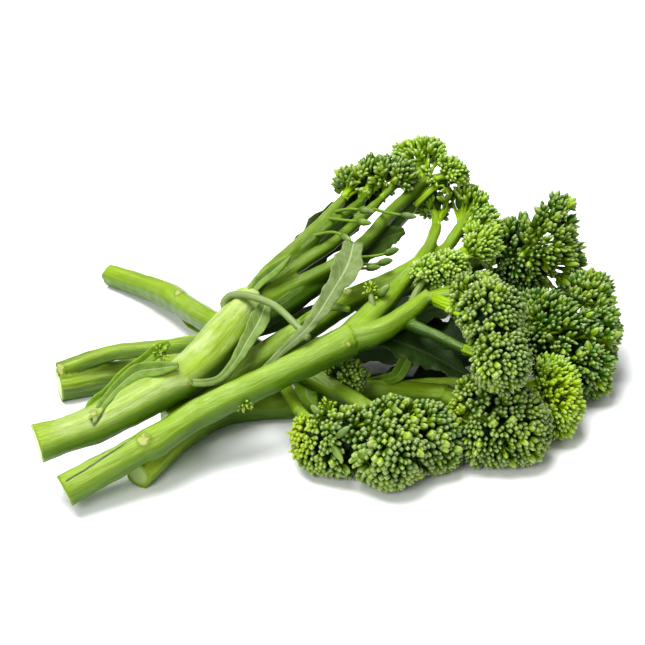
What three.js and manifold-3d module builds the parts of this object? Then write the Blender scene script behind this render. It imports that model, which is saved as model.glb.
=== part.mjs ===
// Baby broccoli bunch: six slim flowering spears lying heaped on one another.
// Cut ends point to -X, flower heads fan out to +X. Millimetres, +Z up, and the origin is on
// the surface under the middle of the bunch.
import * as THREE from 'three';
import { ConvexHull } from 'three/addons/math/ConvexHull.js';
import { mergeVertices } from 'three/addons/utils/BufferGeometryUtils.js';
import Module from 'manifold-3d';

const wasm = await Module();
wasm.setup();

// Driving dimensions
const CLEAR = 0.35; // gap kept between neighbouring pieces
const STALK_SIDES = 8;
const STALK_STEPS = 2; // rings for each stretch between a stalk's points
const BRANCH_SIDES = 6;
const PEDICEL_SIDES = 4;
const BRANCH_STEPS = 1;
const PEDICEL_START_SHARE = 0.75; // radius of a floret's pedicel against the limb that it leaves
const PEDICEL_MIDDLE_SHARE = 0.2; // its radius half way, against the floret's
const PEDICEL_END_SHARE = 0.42; // its radius inside the floret, against the floret's
const PEDICEL_END_SHORT = 0.2; // how far before the floret's middle it ends
const PEDICEL_BEND = 0.4; // how long it follows the limb's heading, as a share of its length
const PEDICEL_EASE = 0.6; // how far its middle is drawn back from that heading
const PEDICEL_ROOT = 1; // how deep it starts inside the limb
const RIB = 0.035; // height of the ribs along a stalk, as a share of its radius
const LEAF_THICK = 0.8;
const LEAF_STEPS = 1;
const PETIOLE_THICK = 2.6; // thickness that a leaf narrowing to nothing would reach
const PETIOLE_TAPER = 0.6; // loss of that thickness for each millimetre of half width
const TOOTH_MIN_WIDTH = 2; // half width from which a leaf's edge is toothed
const LEAF_TOOTH = 0.14; // how far the teeth cut into a leaf's half width
const LEAF_FOLD = 0.22; // rise of the leaf's edges beside its midrib, as a share of its half width
const FURROW_SHARE = 0.76; // depth of the furrows between buds, as a share of the floret's radius
const SHOULDER_SHARE = 0.94; // height of a bud's shoulder, as a share of the floret's radius
const BUD_FULLNESS = 0.68; // width of a bud's shoulder against the space that it has
const BUD_AREA = 132; // surface that one bud covers, mm2
const FEWEST_BUDS = 7; // buds on the smallest floret
const BUD_CAP_ANGLE = 1.88; // half angle of the cap of buds round a floret's axis
const BUD_LOWEST = 0.95; // lowest and highest bud, as shares of the floret's radius
const BUD_HIGHEST = 1.04;
const HIDDEN_SHARE = 0.97; // a bud this far inside another floret of its head is left out
const UNDERSIDE_DRAW = 0.35; // how far a floret's underside draws in towards its stalk
const LINK_SHARE = 0.46; // radius of the core between two florets, against the smaller floret
const LOOSE_BUD_LENGTH = 6.5;
const LOOSE_BUD_RADIUS = 1.5;
const LOOSE_BUD_SIDES = 4;
const LOOSE_BUD_PROFILE = [[0, 0], [0.8, 0.2], [0.9, 0.75], [0, 1]]; // shares of radius and length
const LOOSE_BUD_SEAT = 1.5; // how deep a loose bud sits on its pedicel
const LOOSE_PEDICEL_RADIUS = 0.65;
const MERGE_DISTANCE = 1e-5;
const GOLDEN_ANGLE = Math.PI * (3 - Math.sqrt(5));
const SEED = 20431;

// Colours
const STEM_FRONT_GREEN = 0x9cc43f;
const STEM_THICK_GREEN = 0xaecb68;
const STEM_DEEP_GREEN = 0x8ab536;
const BUD_GREEN = 0x5f8a45;
const BUD_PALE_GREEN = 0x86a63c;
const STEM_ROUGHNESS = 0.5;
const HEAD_ROUGHNESS = 0.7;

// The spears. A limb is a list of points [x, y, z, radius]; the first limb is the stalk. A limb
// with florets carries them at its end, each as [x, y, z, radius], in the head that it names.
const FACE_VIEW = [0, -0.87, 0.5];
const FACE_UP = [0, -0.3, 0.95];
const SPEARS = [
  {
    name: 'front',
    color: STEM_FRONT_GREEN,
    limbs: [
      { path: [[-85, -72, 8, 5.2], [-73, -66, 12, 4.8], [-62, -60, 15.5, 4.8], [-59, -58.5, 16.3, 5.2],
        [-55, -55.5, 17.3, 4.7], [-45, -47, 20, 4.8], [-20, -35.5, 27, 4.7], [1, -25.5, 33, 5.4]] },
      { path: [[1, -25, 33, 4.6], [10, -14, 36.5, 4.3], [18, -4, 40, 3.2], [23, 2, 43, 2.4]],
        head: 'front_small', florets: [[28, -1, 45, 5.5], [37, 1, 46, 6.8]] },
      { path: [[1, -25, 33, 4.6], [12, -23, 35.5, 3.9], [22, -16, 38.5, 3.1], [28, -10, 41, 2.3]],
        head: 'front', florets: [[48, -24, 43, 11.5], [41, -12, 42, 7], [47, -7, 43, 5.8]] },
      { path: [[20, -17, 36, 2.2], [30, -24, 35, 1.8], [39, -31, 34, 1.7]], head: 'front',
        florets: [[50, -40, 34, 10.5]] },
      { path: [[12, -15, 37.5, 1.5], [10.2, -13, 41, 1.1], [9.9, -9.4, 43.5, 0.8]] },
      { path: [[22, -16, 38.5, 1.6], [24.5, -9, 41.5, 1.3], [27.5, -4, 44, 1.1]] },
    ],
    leaves: [
      { face: FACE_VIEW, spine: [[-25, -34, 27, 1.5], [-18, -31, 34, 1.4], [-13, -30, 38.5, 1.8],
        [-8.5, -26.5, 42.5, 2.2], [-3, -16, 46.5, 3.2], [2, -4, 49.5, 4.6], [4.5, 10, 51, 3]] },
      { face: FACE_UP, spine: [[7, -23, 34, 2], [14, -21.5, 32, 5], [21, -21.5, 29.5, 7],
        [28, -23, 27, 6.4], [35, -26, 24.5, 4.6], [42, -30, 22, 1]] },
    ],
    looseBuds: [
      [[10.2, -13, 40.8], [13, -11, 43], [16, -10, 46]],
    ],
  },
  {
    name: 'thick',
    color: STEM_THICK_GREEN,
    limbs: [
      { path: [[-93.5, -64, 20, 6.2], [-85, -60.5, 21, 5.5], [-75.5, -56, 22.5, 6],
        [-62, -47, 25.5, 6.2], [-48.5, -36, 28, 6.6], [-38.5, -20, 31.5, 6.9], [-31.5, -6, 35, 5.9]] },
      { path: [[-34, -10, 34.5, 3.8], [-24, 8, 41, 2.6], [-11, 23, 47, 2.2], [0, 38, 52, 1.9]],
        head: 'top_left', florets: [[3.5, 50, 53, 6]] },
      { path: [[-30, -4, 35.5, 2.8], [-19, 11, 41, 2], [-6, 25, 47.5, 1.8], [7, 38, 52, 1.7]],
        head: 'top_left', florets: [[13, 56, 55, 7.6], [8, 52, 52.5, 6.5]] },
      { path: [[-32, -8, 35, 3.4], [-18, 9, 39.5, 2.3], [-2, 22, 45, 2], [12, 38, 51, 1.8]],
        head: 'top_left', florets: [[22, 50, 56, 7]] },
      { path: [[-31, -9, 33.5, 4.2], [-16, 4, 37, 3], [3, 16, 42.5, 2.6], [20, 39, 50, 2.3],
        [29, 52, 53, 2]], head: 'top_right', florets: [[32, 65, 58, 8], [40.5, 52, 57, 6.6],
        [25, 69, 57, 5.5]] },
      { path: [[-30, -12, 32, 3.8], [-17, 0, 33.5, 3.8], [0, 19, 37.5, 3.6], [13.5, 32, 42, 3.2],
        [24, 44, 46, 2.6]], head: 'top_right', florets: [[36, 54, 51.5, 5.5]] },
      { path: [[-36, -11, 34, 1.5], [-38.5, -8.5, 38, 1.4], [-36.5, -8, 40.5, 1.3], [-32, -10, 42, 1.3],
        [-27.9, -12.8, 42.5, 1.25], [-21.6, -17.1, 42, 1.25], [-15.2, -24.8, 40, 1.2],
        [-10.5, -30.8, 37.8, 1.2]] },
    ],
    leaves: [
      { face: FACE_VIEW, spine: [[-48, -40, 28, 1.5], [-46, -43.5, 29, 1.3], [-39.3, -41.1, 28.5, 1.3],
        [-34.3, -33.3, 30, 1.7], [-30.2, -23.9, 33, 2.5], [-26.8, -16.7, 36, 3.2],
        [-24.9, -10.9, 38.5, 2]] },
      { face: FACE_VIEW, spine: [[-79, -56, 24.5, 1.6], [-77, -52.5, 27, 1.8], [-72.7, -49.7, 29, 2],
        [-68, -43, 31.5, 2.1], [-63.1, -38.4, 33, 2.1], [-58.3, -32.7, 34.5, 1.9],
        [-55.5, -29.5, 35, 0.9]] },
      { face: FACE_VIEW, spine: [[-75.5, -57.5, 26, 1.4], [-73.5, -55.5, 28.8, 1.5],
        [-68.7, -47.5, 31, 2], [-63.8, -43.4, 33, 2.5], [-57.5, -43.6, 34.3, 2.3],
        [-51, -42.9, 35, 0.9]] },
      { face: FACE_VIEW, spine: [[-31, -7, 39, 1.5], [-27, -1, 42, 1.9], [-22, 3, 44.5, 2],
        [-17, 8, 47, 0.8]] },
      { face: FACE_VIEW, spine: [[-31.5, -6, 35, 2], [-27, 8, 33, 3], [-14, 24, 37, 6.5],
        [-2, 40, 42, 7], [10, 55, 46, 5], [16, 62, 48, 1.5]] },
      { face: FACE_VIEW, spine: [[0, 18, 38, 1.5], [4.1, 17.4, 40, 3], [11.2, 24.2, 42, 3.8],
        [17.6, 29.7, 43.5, 3.4], [22.5, 31.6, 44.5, 1.2]] },
    ],
    looseBuds: [
      [[-11.5, 23, 46.5], [-1.1, 17.9, 51], [3.6, 11.2, 51]],
      [[-3, 34, 50.5], [5.2, 27.5, 55], [12, 25.2, 55]],
      [[-5, 31, 49.8], [4.1, 20.3, 54], [10.8, 18.7, 54]],
      [[11, 37, 50.6], [18.9, 25.7, 54], [26.4, 23.4, 54]],
      [[2, 15.3, 42.3], [14.8, 11.3, 46], [20.1, 15, 46]],
      [[1, 14.6, 42], [13.4, 6.7, 45], [17.8, 8.8, 45]],
      [[0, 14, 41.6], [9.9, 3.1, 45], [13.6, 3.8, 45]],
    ],
  },
  {
    name: 'back',
    color: STEM_DEEP_GREEN,
    limbs: [
      { path: [[-88, 74, 4.2, 4.1], [-75, 63, 6, 4.3], [-62, 48, 9, 4.8], [-57, 40, 10, 4.5],
        [-42, 17, 13.8, 4.4], [-26, -4, 15.5, 4], [-10, -18, 15.5, 3.9], [-2, -25, 15, 3.4],
        [6, -34, 15, 3]], head: 'near', florets: [[15, -58, 11.2, 11.4], [28, -45, 12, 9.5],
        [31, -49, 8, 8], [16, -45, 16, 8]] },
      { path: [[-27, -1, 15, 3], [-19, -24, 16.5, 2.3], [-14, -39, 16, 2]], head: 'near',
        florets: [[-9, -46, 11, 7], [1, -49, 13, 8.5], [-6, -51, 7.5, 7], [4.5, -51, 9, 7]] },
      { path: [[-12, -16, 15, 1.8], [-8, -19, 17, 1.5]], head: 'side', florets: [[-1.5, -20, 19, 4.6],
        [4.5, -23.5, 18.5, 5]] },
    ],
    leaves: [
      { face: FACE_UP, spine: [[-14, -15, 15, 2], [-12, -19, 13, 3.5], [-11, -24, 11, 3.8],
        [-8, -28, 9, 1]] },
      { face: FACE_VIEW, spine: [[-58, 43, 9.5, 1.6], [-54, 36, 6, 2.6], [-48, 29, 4, 0.8]] },
    ],
    looseBuds: [],
  },
  {
    name: 'streaked',
    color: STEM_DEEP_GREEN,
    limbs: [
      { path: [[-96, -7, 5.4, 5.8], [-73, 1, 4.9, 5.1], [-45, 10, 4.6, 4.8], [-7, 15, 6, 4.6],
        [35, 11, 10, 4.2], [62, 7, 15, 3.6]], head: 'right', florets: [[88, 23, 25, 9],
        [89, 8, 18, 9.3], [76, 6, 21, 10.5], [84, -6, 10.2, 10.2], [75, -5, 14, 8.5], [68.5, 12, 24, 8],
        [67, -3, 18, 8.2], [82, 3, 13, 8.5]] },
      { path: [[-95, -6, 10.5, 3], [-79, -2, 14.5, 2.8], [-58, -3, 18, 2.7], [-34, -3, 23, 2.7],
        [-3, 13, 24, 2.8], [29, 28, 25, 2.8], [58, 43, 29, 2.8]], head: 'pointed',
        florets: [[79, 47, 47, 5.5], [75, 42, 41, 7], [62.5, 42, 35.5, 9], [80, 42, 31, 8.5],
        [61.5, 34, 26.5, 10], [82, 39, 20, 8], [72, 38, 27, 8], [73, 34, 34, 7]] },
    ],
    leaves: [
      { face: FACE_UP, spine: [[-7, 15, 6, 2], [2, 9, 9, 3], [14, 4, 13, 8], [28, 3, 15, 12],
        [42, 1, 15.5, 11.5], [56, 2, 16, 2]] },
      { face: FACE_UP, spine: [[2, 16, 24.5, 1.5], [12, 14, 22, 4], [26, 14, 22, 7], [38, 16, 24, 6.5],
        [48, 17, 26, 2]] },
      { face: FACE_UP, spine: [[44, 35.5, 26.5, 2], [52, 40, 20, 5], [60, 38, 14, 8], [66, 30, 10, 9],
        [69, 18, 8, 7], [70, 6, 6, 2]] },
    ],
    looseBuds: [],
  },
  {
    name: 'low',
    color: STEM_DEEP_GREEN,
    limbs: [
      { path: [[-64, -59, 4.6, 4.8], [-52, -37, 4.6, 4.8], [-38, -22, 4.6, 4.8], [-14, -18, 5, 4.7],
        [8, -16, 8, 4.2], [33, -27, 14, 3.6]], head: 'low', florets: [[45, -33, 16.5, 9.8],
        [55, -40, 16, 9.8], [45, -45, 9, 9.3], [58, -44, 9, 9.3], [52, -44, 11, 8]] },
      { path: [[13, -16, 8.5, 3], [37, -15, 10, 2.8], [57, -20, 12, 2.6]], head: 'pale',
        florets: [[69, -22, 15.5, 10.3], [71, -31, 9, 8.5]] },
    ],
    leaves: [
      { face: FACE_VIEW, spine: [[9, -13, 10, 1.2], [14, -16, 13, 1.6], [18.5, -20, 17, 2.2],
        [21, -17.5, 20, 2.4], [23.5, -14.5, 24, 0.8]] },
      { face: FACE_UP, spine: [[-16, -18, 4, 2], [0, -15, 3, 8], [15, -15, 3, 12], [31, -16, 3, 12.5],
        [46, -17, 3, 8], [56, -18, 3, 1]] },
    ],
    looseBuds: [],
  },
  {
    name: 'middle',
    color: STEM_FRONT_GREEN,
    limbs: [
      { path: [[-55, -44, 14.6, 4.4], [-41, -29.5, 18.5, 4.4], [-28, -21, 23.5, 4.4],
        [-14, -13, 29, 4.3], [2, 1, 33, 4], [18, 9, 37, 3.6], [27, 16, 39, 3.3]] },
      { path: [[26, 15, 39, 2.8], [31, 26, 41, 2.2], [34, 36, 43, 1.9]], head: 'middle',
        florets: [[33.5, 53, 43, 7.4]] },
      { path: [[21, 11, 37.5, 2.8], [35, 26, 38, 2.3], [43, 39, 42, 2]], head: 'middle',
        florets: [[45.5, 51, 45, 8.4], [51, 41, 42, 6.5]] },
      { path: [[25, 14, 38.5, 2.4], [36, 20, 38, 2]], head: 'middle', florets: [[48, 25, 38.5, 7],
        [50.5, 32, 39.5, 6.6]] },
    ],
    leaves: [
      { face: FACE_UP, spine: [[-15, -12, 30, 1.4], [-10, -14, 36, 1.6], [-4, -13, 38.5, 2],
        [3, -15, 39, 0.8]] },
    ],
    looseBuds: [],
  },
];
const PALE_HEADS = ['pale'];

// Small helpers
function vec(point) {
  return new THREE.Vector3(point[0], point[1], point[2]);
}

function makeRandom(seed) {
  let state = seed;
  return () => {
    state = (state * 1664525 + 1013904223) % 4294967296;
    return state / 4294967296;
  };
}

function mix(a, b, share) {
  return a + (b - a) * share;
}

// A closed geometry as a solid, turned the right way out
function toSolid(geometry) {
  const bare = geometry.clone();
  bare.deleteAttribute('normal');
  bare.deleteAttribute('uv');
  const merged = mergeVertices(bare, MERGE_DISTANCE);
  const vertProperties = new Float32Array(merged.attributes.position.array);
  const triVerts = new Uint32Array(merged.index.array);
  if (signedVolume(vertProperties, triVerts) < 0) {
    for (let i = 0; i < triVerts.length; i += 3) {
      [triVerts[i + 1], triVerts[i + 2]] = [triVerts[i + 2], triVerts[i + 1]];
    }
  }
  return new wasm.Manifold(new wasm.Mesh({ numProp: 3, vertProperties, triVerts }));
}

function signedVolume(positions, triangles) {
  const corner = [new THREE.Vector3(), new THREE.Vector3(), new THREE.Vector3()];
  let volume = 0;
  for (let i = 0; i < triangles.length; i += 3) {
    corner.forEach((point, k) => point.fromArray(positions, triangles[i + k] * 3));
    volume += corner[0].dot(corner[1].cross(corner[2])) / 6;
  }
  return volume;
}

function join(solids) {
  return solids.reduce((whole, solid) => whole.add(solid));
}

// A geometry from rings of points, each ring closed on itself, with flat ends
function ringGeometry(rings) {
  const sides = rings[0].length;
  const positions = rings.flat().flatMap((point) => point.toArray());
  const index = [];
  for (let i = 0; i + 1 < rings.length; i += 1) {
    for (let k = 0; k < sides; k += 1) {
      const a = i * sides + k;
      const b = i * sides + ((k + 1) % sides);
      index.push(a, b, b + sides, a, b + sides, a + sides);
    }
  }
  const last = (rings.length - 1) * sides;
  for (let k = 1; k + 1 < sides; k += 1) {
    index.push(0, k + 1, k, last, last + k, last + k + 1);
  }
  const geometry = new THREE.BufferGeometry();
  geometry.setAttribute('position', new THREE.Float32BufferAttribute(positions, 3));
  geometry.setIndex(index);
  return geometry;
}

// Places along a smooth curve through the points, each with its direction and its width
function stations(points, steps) {
  const curve = new THREE.CatmullRomCurve3(points.map(vec));
  const spans = points.length - 1;
  const list = [];
  for (let i = 0; i <= spans * steps; i += 1) {
    const t = i / (spans * steps);
    const k = Math.min(Math.floor(t * spans), spans - 1);
    list.push({
      at: curve.getPoint(t),
      along: curve.getTangent(t).normalize(),
      width: mix(points[k][3], points[k + 1][3], t * spans - k),
    });
  }
  return list;
}

// A limb: a ribbed round stalk along its path, drawn out by extra all round when it is a cutter
function limb(path, sides, extra = 0) {
  const places = stations(path, sides === STALK_SIDES ? STALK_STEPS : BRANCH_STEPS);
  places[0].at.addScaledVector(places[0].along, -extra);
  places.at(-1).at.addScaledVector(places.at(-1).along, extra);
  const across = new THREE.Vector3(0, 0, 1);
  const rings = places.map(({ at, along, width }) => {
    across.addScaledVector(along, -across.dot(along)).normalize();
    const beside = new THREE.Vector3().crossVectors(along, across);
    return Array.from({ length: sides }, (_, k) => {
      const angle = (2 * Math.PI * k) / sides;
      const rib = extra > 0 ? 1 + RIB : 1 + RIB * (k % 2 === 0 ? 1 : -1);
      const radius = width * rib + extra;
      return at.clone()
        .addScaledVector(across, radius * Math.cos(angle))
        .addScaledVector(beside, radius * Math.sin(angle));
    });
  });
  return toSolid(ringGeometry(rings));
}

// A leaf: a thin folded blade with a toothed edge, thicker where it narrows to its petiole
function leaf({ spine, face }, extra = 0) {
  const rings = stations(spine, LEAF_STEPS).map(({ at, along, width }, i) => {
    const across = new THREE.Vector3().crossVectors(along, vec(face)).normalize();
    const normal = new THREE.Vector3().crossVectors(across, along).normalize();
    const toothed = width > TOOTH_MIN_WIDTH && extra === 0 && i % 2 === 1;
    const half = width * (toothed ? 1 - LEAF_TOOTH : 1) + extra;
    const thick = Math.max(LEAF_THICK, PETIOLE_THICK - PETIOLE_TAPER * width) / 2 + extra;
    const place = (side, level) => at.clone()
      .addScaledVector(across, side * half)
      .addScaledVector(normal, level * thick + Math.abs(side) * LEAF_FOLD * half);
    return [place(-1, -1), place(0, -1), place(1, -1), place(1, 1), place(0, 1), place(-1, 1)];
  });
  return toSolid(ringGeometry(rings));
}

// A bud: a closed acorn shape whose root is at the given point
function bud(root, direction, length, radius) {
  const points = LOOSE_BUD_PROFILE.map(([r, h]) => new THREE.Vector2(r * radius, h * length));
  const geometry = new THREE.LatheGeometry(points, LOOSE_BUD_SIDES);
  const turn = new THREE.Quaternion().setFromUnitVectors(new THREE.Vector3(0, 1, 0), direction);
  geometry.applyQuaternion(turn);
  geometry.translate(root.x, root.y, root.z);
  return toSolid(geometry);
}

// A loose bud on a thin bent pedicel: the pedicel's points end where the bud ends
function looseBud(points, extra = 0) {
  const [from, bend, tip] = points.map(vec);
  const direction = tip.clone().sub(bend).normalize();
  const root = tip.clone().addScaledVector(direction, -LOOSE_BUD_LENGTH);
  const seat = root.clone().addScaledVector(direction, LOOSE_BUD_SEAT);
  const path = [from, bend.clone().lerp(root, 0.5), seat]
    .map((point) => [...point.toArray(), LOOSE_PEDICEL_RADIUS]);
  return limb(path, PEDICEL_SIDES, extra)
    .add(bud(root.addScaledVector(direction, -extra), direction, LOOSE_BUD_LENGTH + 2 * extra,
      LOOSE_BUD_RADIUS + extra));
}

// The pedicel from a limb's end to a floret, which widens inside the floret
function pedicelPath(path, floret) {
  const end = vec(path.at(-1));
  const centre = vec(floret);
  const [, , , radius] = floret;
  const heading = end.clone().sub(vec(path.at(-2))).normalize();
  const start = end.clone().addScaledVector(heading, -PEDICEL_ROOT);
  const straight = end.clone().addScaledVector(heading, end.distanceTo(centre) * PEDICEL_BEND);
  const middle = straight.lerp(end.clone().lerp(centre, 0.5), PEDICEL_EASE);
  const arrival = centre.clone().sub(middle).normalize();
  const finish = centre.clone().addScaledVector(arrival, -PEDICEL_END_SHORT * radius);
  return [
    [...start.toArray(), PEDICEL_START_SHARE * path.at(-1)[3]],
    [...middle.toArray(), PEDICEL_MIDDLE_SHARE * radius],
    [...finish.toArray(), PEDICEL_END_SHARE * radius],
  ];
}

// All florets, each with its head, its middle and the way that it faces
const florets = SPEARS.flatMap(({ limbs }) => limbs).flatMap((branch) => (
  (branch.florets ?? []).map((floret) => {
    const centre = vec(floret);
    const bend = vec(pedicelPath(branch.path, floret)[1]);
    return { head: branch.head, centre, radius: floret[3], axis: centre.clone().sub(bend).normalize() };
  })
));

// The flat face between two florets of different heads: power plane of their spheres
function parting(own, other) {
  const away = other.centre.clone().sub(own.centre);
  const distance = away.length();
  const reach = (distance ** 2 + own.radius ** 2 - other.radius ** 2) / (2 * distance) - CLEAR / 2;
  return { normal: away.normalize(), reach };
}

// Even directions over a sphere, on a spiral that starts at the axis
function spiralDirections(count, axis) {
  const turn = new THREE.Quaternion().setFromUnitVectors(new THREE.Vector3(0, 0, 1), axis);
  return Array.from({ length: count }, (_, k) => {
    const height = 1 - (2 * (k + 0.5)) / count;
    const level = Math.sqrt(1 - height * height);
    const around = k * GOLDEN_ANGLE;
    return new THREE.Vector3(level * Math.cos(around), level * Math.sin(around), height)
      .applyQuaternion(turn);
  });
}

// The furrows round each bud: for each direction, its neighbours' meeting points in turn order
function furrowRings(directions) {
  const meetings = directions.map(() => []);
  for (const face of new ConvexHull().setFromPoints(directions).faces) {
    const corners = [0, 1, 2].map((k) => face.getEdge(k).head().point);
    const meeting = corners[0].clone().add(corners[1]).add(corners[2]).normalize();
    corners.forEach((corner) => meetings[directions.indexOf(corner)].push(meeting));
  }
  return meetings.map((ring, i) => {
    const ahead = ring[0].clone().cross(directions[i]).normalize();
    const beside = directions[i].clone().cross(ahead);
    const angle = (point) => Math.atan2(point.dot(beside), point.dot(ahead));
    return [...ring].sort((one, two) => angle(one) - angle(two));
  });
}

// One floret: a round body raised into a bud at each direction, with a furrow round every bud.
// The underside beyond the cap of buds is plain and draws in towards the stalk, and so is what
// lies inside another floret of the head.
function floretBody(own, random) {
  const count = Math.max(FEWEST_BUDS, Math.round((4 * Math.PI * own.radius ** 2) / BUD_AREA));
  const directions = spiralDirections(count, own.axis);
  const swell = (direction) => {
    const beyond = Math.max(0, direction.angleTo(own.axis) - BUD_CAP_ANGLE) / (Math.PI - BUD_CAP_ANGLE);
    return own.radius * (1 - UNDERSIDE_DRAW * beyond);
  };
  const place = (direction, share) => own.centre.clone()
    .addScaledVector(direction, swell(direction) * share);
  const mates = florets.filter((other) => other !== own && other.head === own.head);
  const isHidden = (point) => mates.some((other) => (
    other.centre.distanceTo(point) < other.radius * HIDDEN_SHARE));
  const triangles = [];
  furrowRings(directions).forEach((furrow, i) => {
    const direction = directions[i];
    const isBud = direction.angleTo(own.axis) < BUD_CAP_ANGLE && !isHidden(place(direction, 1));
    const low = furrow.map((point) => place(point, FURROW_SHARE));
    const top = place(direction, isBud ? mix(BUD_LOWEST, BUD_HIGHEST, random()) : FURROW_SHARE);
    const outward = (point) => direction.clone().lerp(point, BUD_FULLNESS).normalize();
    const shoulder = isBud
      ? furrow.map((point) => place(outward(point), SHOULDER_SHARE))
      : low;
    low.forEach((point, k) => {
      const next = (k + 1) % low.length;
      triangles.push(top, shoulder[k], shoulder[next]);
      if (isBud) triangles.push(shoulder[k], point, low[next], shoulder[k], low[next], shoulder[next]);
    });
  });
  const geometry = new THREE.BufferGeometry().setFromPoints(triangles);
  geometry.setIndex(triangles.map((_, k) => k));
  return toSolid(geometry);
}

// A floret trimmed to its parting faces with the florets of other heads
function floretSolid(own, random) {
  const rivals = florets.filter((other) => other.head !== own.head
    && other.centre.distanceTo(own.centre) < other.radius + own.radius + CLEAR);
  return rivals.reduce((whole, other) => {
    const { normal, reach } = parting(own, other);
    const inward = normal.negate();
    return whole.trimByPlane(inward.toArray(), inward.dot(own.centre) - reach);
  }, floretBody(own, random));
}

// The core rods that hold neighbouring florets of one head together
function linkSolids(group) {
  const rods = [];
  group.forEach((one, i) => group.slice(i + 1).forEach((two) => {
    if (one.centre.distanceTo(two.centre) > one.radius + two.radius) return;
    const radius = LINK_SHARE * Math.min(one.radius, two.radius);
    const ends = [one, two].map(({ centre }) => [...centre.toArray(), radius]);
    rods.push(limb(ends, BRANCH_SIDES));
  }));
  return rods;
}

// The largest shell of a solid: scraps are dropped and sealed hollows are filled
function mainShell(solid) {
  const mesh = solid.getMesh();
  const triangles = mesh.triVerts;
  const parent = Array.from({ length: mesh.vertProperties.length / mesh.numProp }, (_, i) => i);
  const find = (i) => {
    let root = i;
    while (parent[root] !== root) root = parent[root];
    while (parent[i] !== root) [parent[i], i] = [root, parent[i]];
    return root;
  };
  for (let i = 0; i < triangles.length; i += 3) {
    parent[find(triangles[i])] = find(triangles[i + 1]);
    parent[find(triangles[i + 1])] = find(triangles[i + 2]);
  }
  const shells = new Map();
  for (let i = 0; i < triangles.length; i += 3) {
    const key = find(triangles[i]);
    if (!shells.has(key)) shells.set(key, []);
    shells.get(key).push(triangles[i], triangles[i + 1], triangles[i + 2]);
  }
  const sizes = [...shells.values()].map((shell) => signedVolume(mesh.vertProperties, shell));
  const largest = sizes.indexOf(Math.max(...sizes));
  return { positions: mesh.vertProperties, index: [...shells.values()][largest] };
}

function addMesh(group, name, solid, color, roughness) {
  const { positions, index } = mainShell(solid.trimByPlane([0, 0, 1], 0));
  const geometry = new THREE.BufferGeometry();
  geometry.setAttribute('position', new THREE.Float32BufferAttribute(positions, 3));
  geometry.setIndex(index);
  const clean = mergeVertices(geometry, MERGE_DISTANCE);
  clean.computeVertexNormals();
  const material = new THREE.MeshStandardMaterial({ color, roughness, metalness: 0 });
  const mesh = new THREE.Mesh(clean, material);
  mesh.name = name;
  group.add(mesh);
}

// The stalks with their branches, and the soft parts that are cut clear of other spears
function stemSolids(spear, extra = 0) {
  const hard = spear.limbs.map(({ path }, i) => (
    limb(path, i === 0 ? STALK_SIDES : BRANCH_SIDES, extra)));
  const pedicels = spear.limbs.flatMap(({ path, florets: own = [] }) => own.map((floret) => (
    limb(pedicelPath(path, floret), PEDICEL_SIDES, extra))));
  const leaves = spear.leaves.map((one) => leaf(one, extra));
  const buds = spear.looseBuds.map((points) => looseBud(points, extra));
  return { hard, soft: [...pedicels, ...leaves, ...buds] };
}

const bunch = new THREE.Group();
bunch.name = 'baby_broccoli_bunch';
const random = makeRandom(SEED);

const cutters = SPEARS.map((spear) => {
  const { hard, soft } = stemSolids(spear, CLEAR);
  return { hard: join(hard), soft: join(soft) };
});

SPEARS.forEach((spear, i) => {
  const { hard, soft } = stemSolids(spear);
  let softPart = join(soft);
  cutters.forEach((cutter, k) => {
    if (k !== i) softPart = softPart.subtract(cutter.hard);
    if (k < i) softPart = softPart.subtract(cutter.soft);
  });
  addMesh(bunch, `stem_${spear.name}`, join([...hard, softPart]), spear.color, STEM_ROUGHNESS);
});

const allStems = join(cutters.flatMap(({ hard, soft }) => [hard, soft]));
[...new Set(florets.map(({ head }) => head))].forEach((head) => {
  const own = florets.filter((floret) => floret.head === head);
  const solid = join([...own.map((floret) => floretSolid(floret, random)), ...linkSolids(own)]);
  const color = PALE_HEADS.includes(head) ? BUD_PALE_GREEN : BUD_GREEN;
  addMesh(bunch, `head_${head}`, solid.subtract(allStems), color, HEAD_ROUGHNESS);
});

export default bunch;
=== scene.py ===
"""Baby broccoli bunch: six flowering spears lying heaped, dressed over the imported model.

Points and sizes below are millimetres in the model's frame; meshes are made in metres.
"""

import bpy
import numpy as np
from bpy.props import FloatProperty, FloatVectorProperty, IntProperty, PointerProperty
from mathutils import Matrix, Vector


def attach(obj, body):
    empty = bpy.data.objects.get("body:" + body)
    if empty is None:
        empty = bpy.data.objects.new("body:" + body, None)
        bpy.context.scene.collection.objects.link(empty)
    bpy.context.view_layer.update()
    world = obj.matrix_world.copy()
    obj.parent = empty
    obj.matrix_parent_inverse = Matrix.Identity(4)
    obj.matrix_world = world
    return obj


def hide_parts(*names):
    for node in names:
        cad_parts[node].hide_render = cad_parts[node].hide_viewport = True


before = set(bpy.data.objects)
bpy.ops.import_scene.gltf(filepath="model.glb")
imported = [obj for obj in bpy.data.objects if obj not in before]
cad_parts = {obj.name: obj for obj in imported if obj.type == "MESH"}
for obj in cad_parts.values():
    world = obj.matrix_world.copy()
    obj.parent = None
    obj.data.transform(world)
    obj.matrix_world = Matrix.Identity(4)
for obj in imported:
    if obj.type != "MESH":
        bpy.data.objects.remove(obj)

bl_info = {
    "name": "Baby broccoli bunch",
    "version": (1, 0, 0),
    "blender": (4, 5, 0),
    "location": "View3D > Sidebar > Bunch",
    "description": "Six baby broccoli spears with their leaves and flower heads",
    "category": "Add Mesh",
}

MM = 0.001
SEED = 20431
GOLDEN_ANGLE = np.pi * (3 - np.sqrt(5))
UP = np.array([0.0, 0.0, 1])

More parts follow.
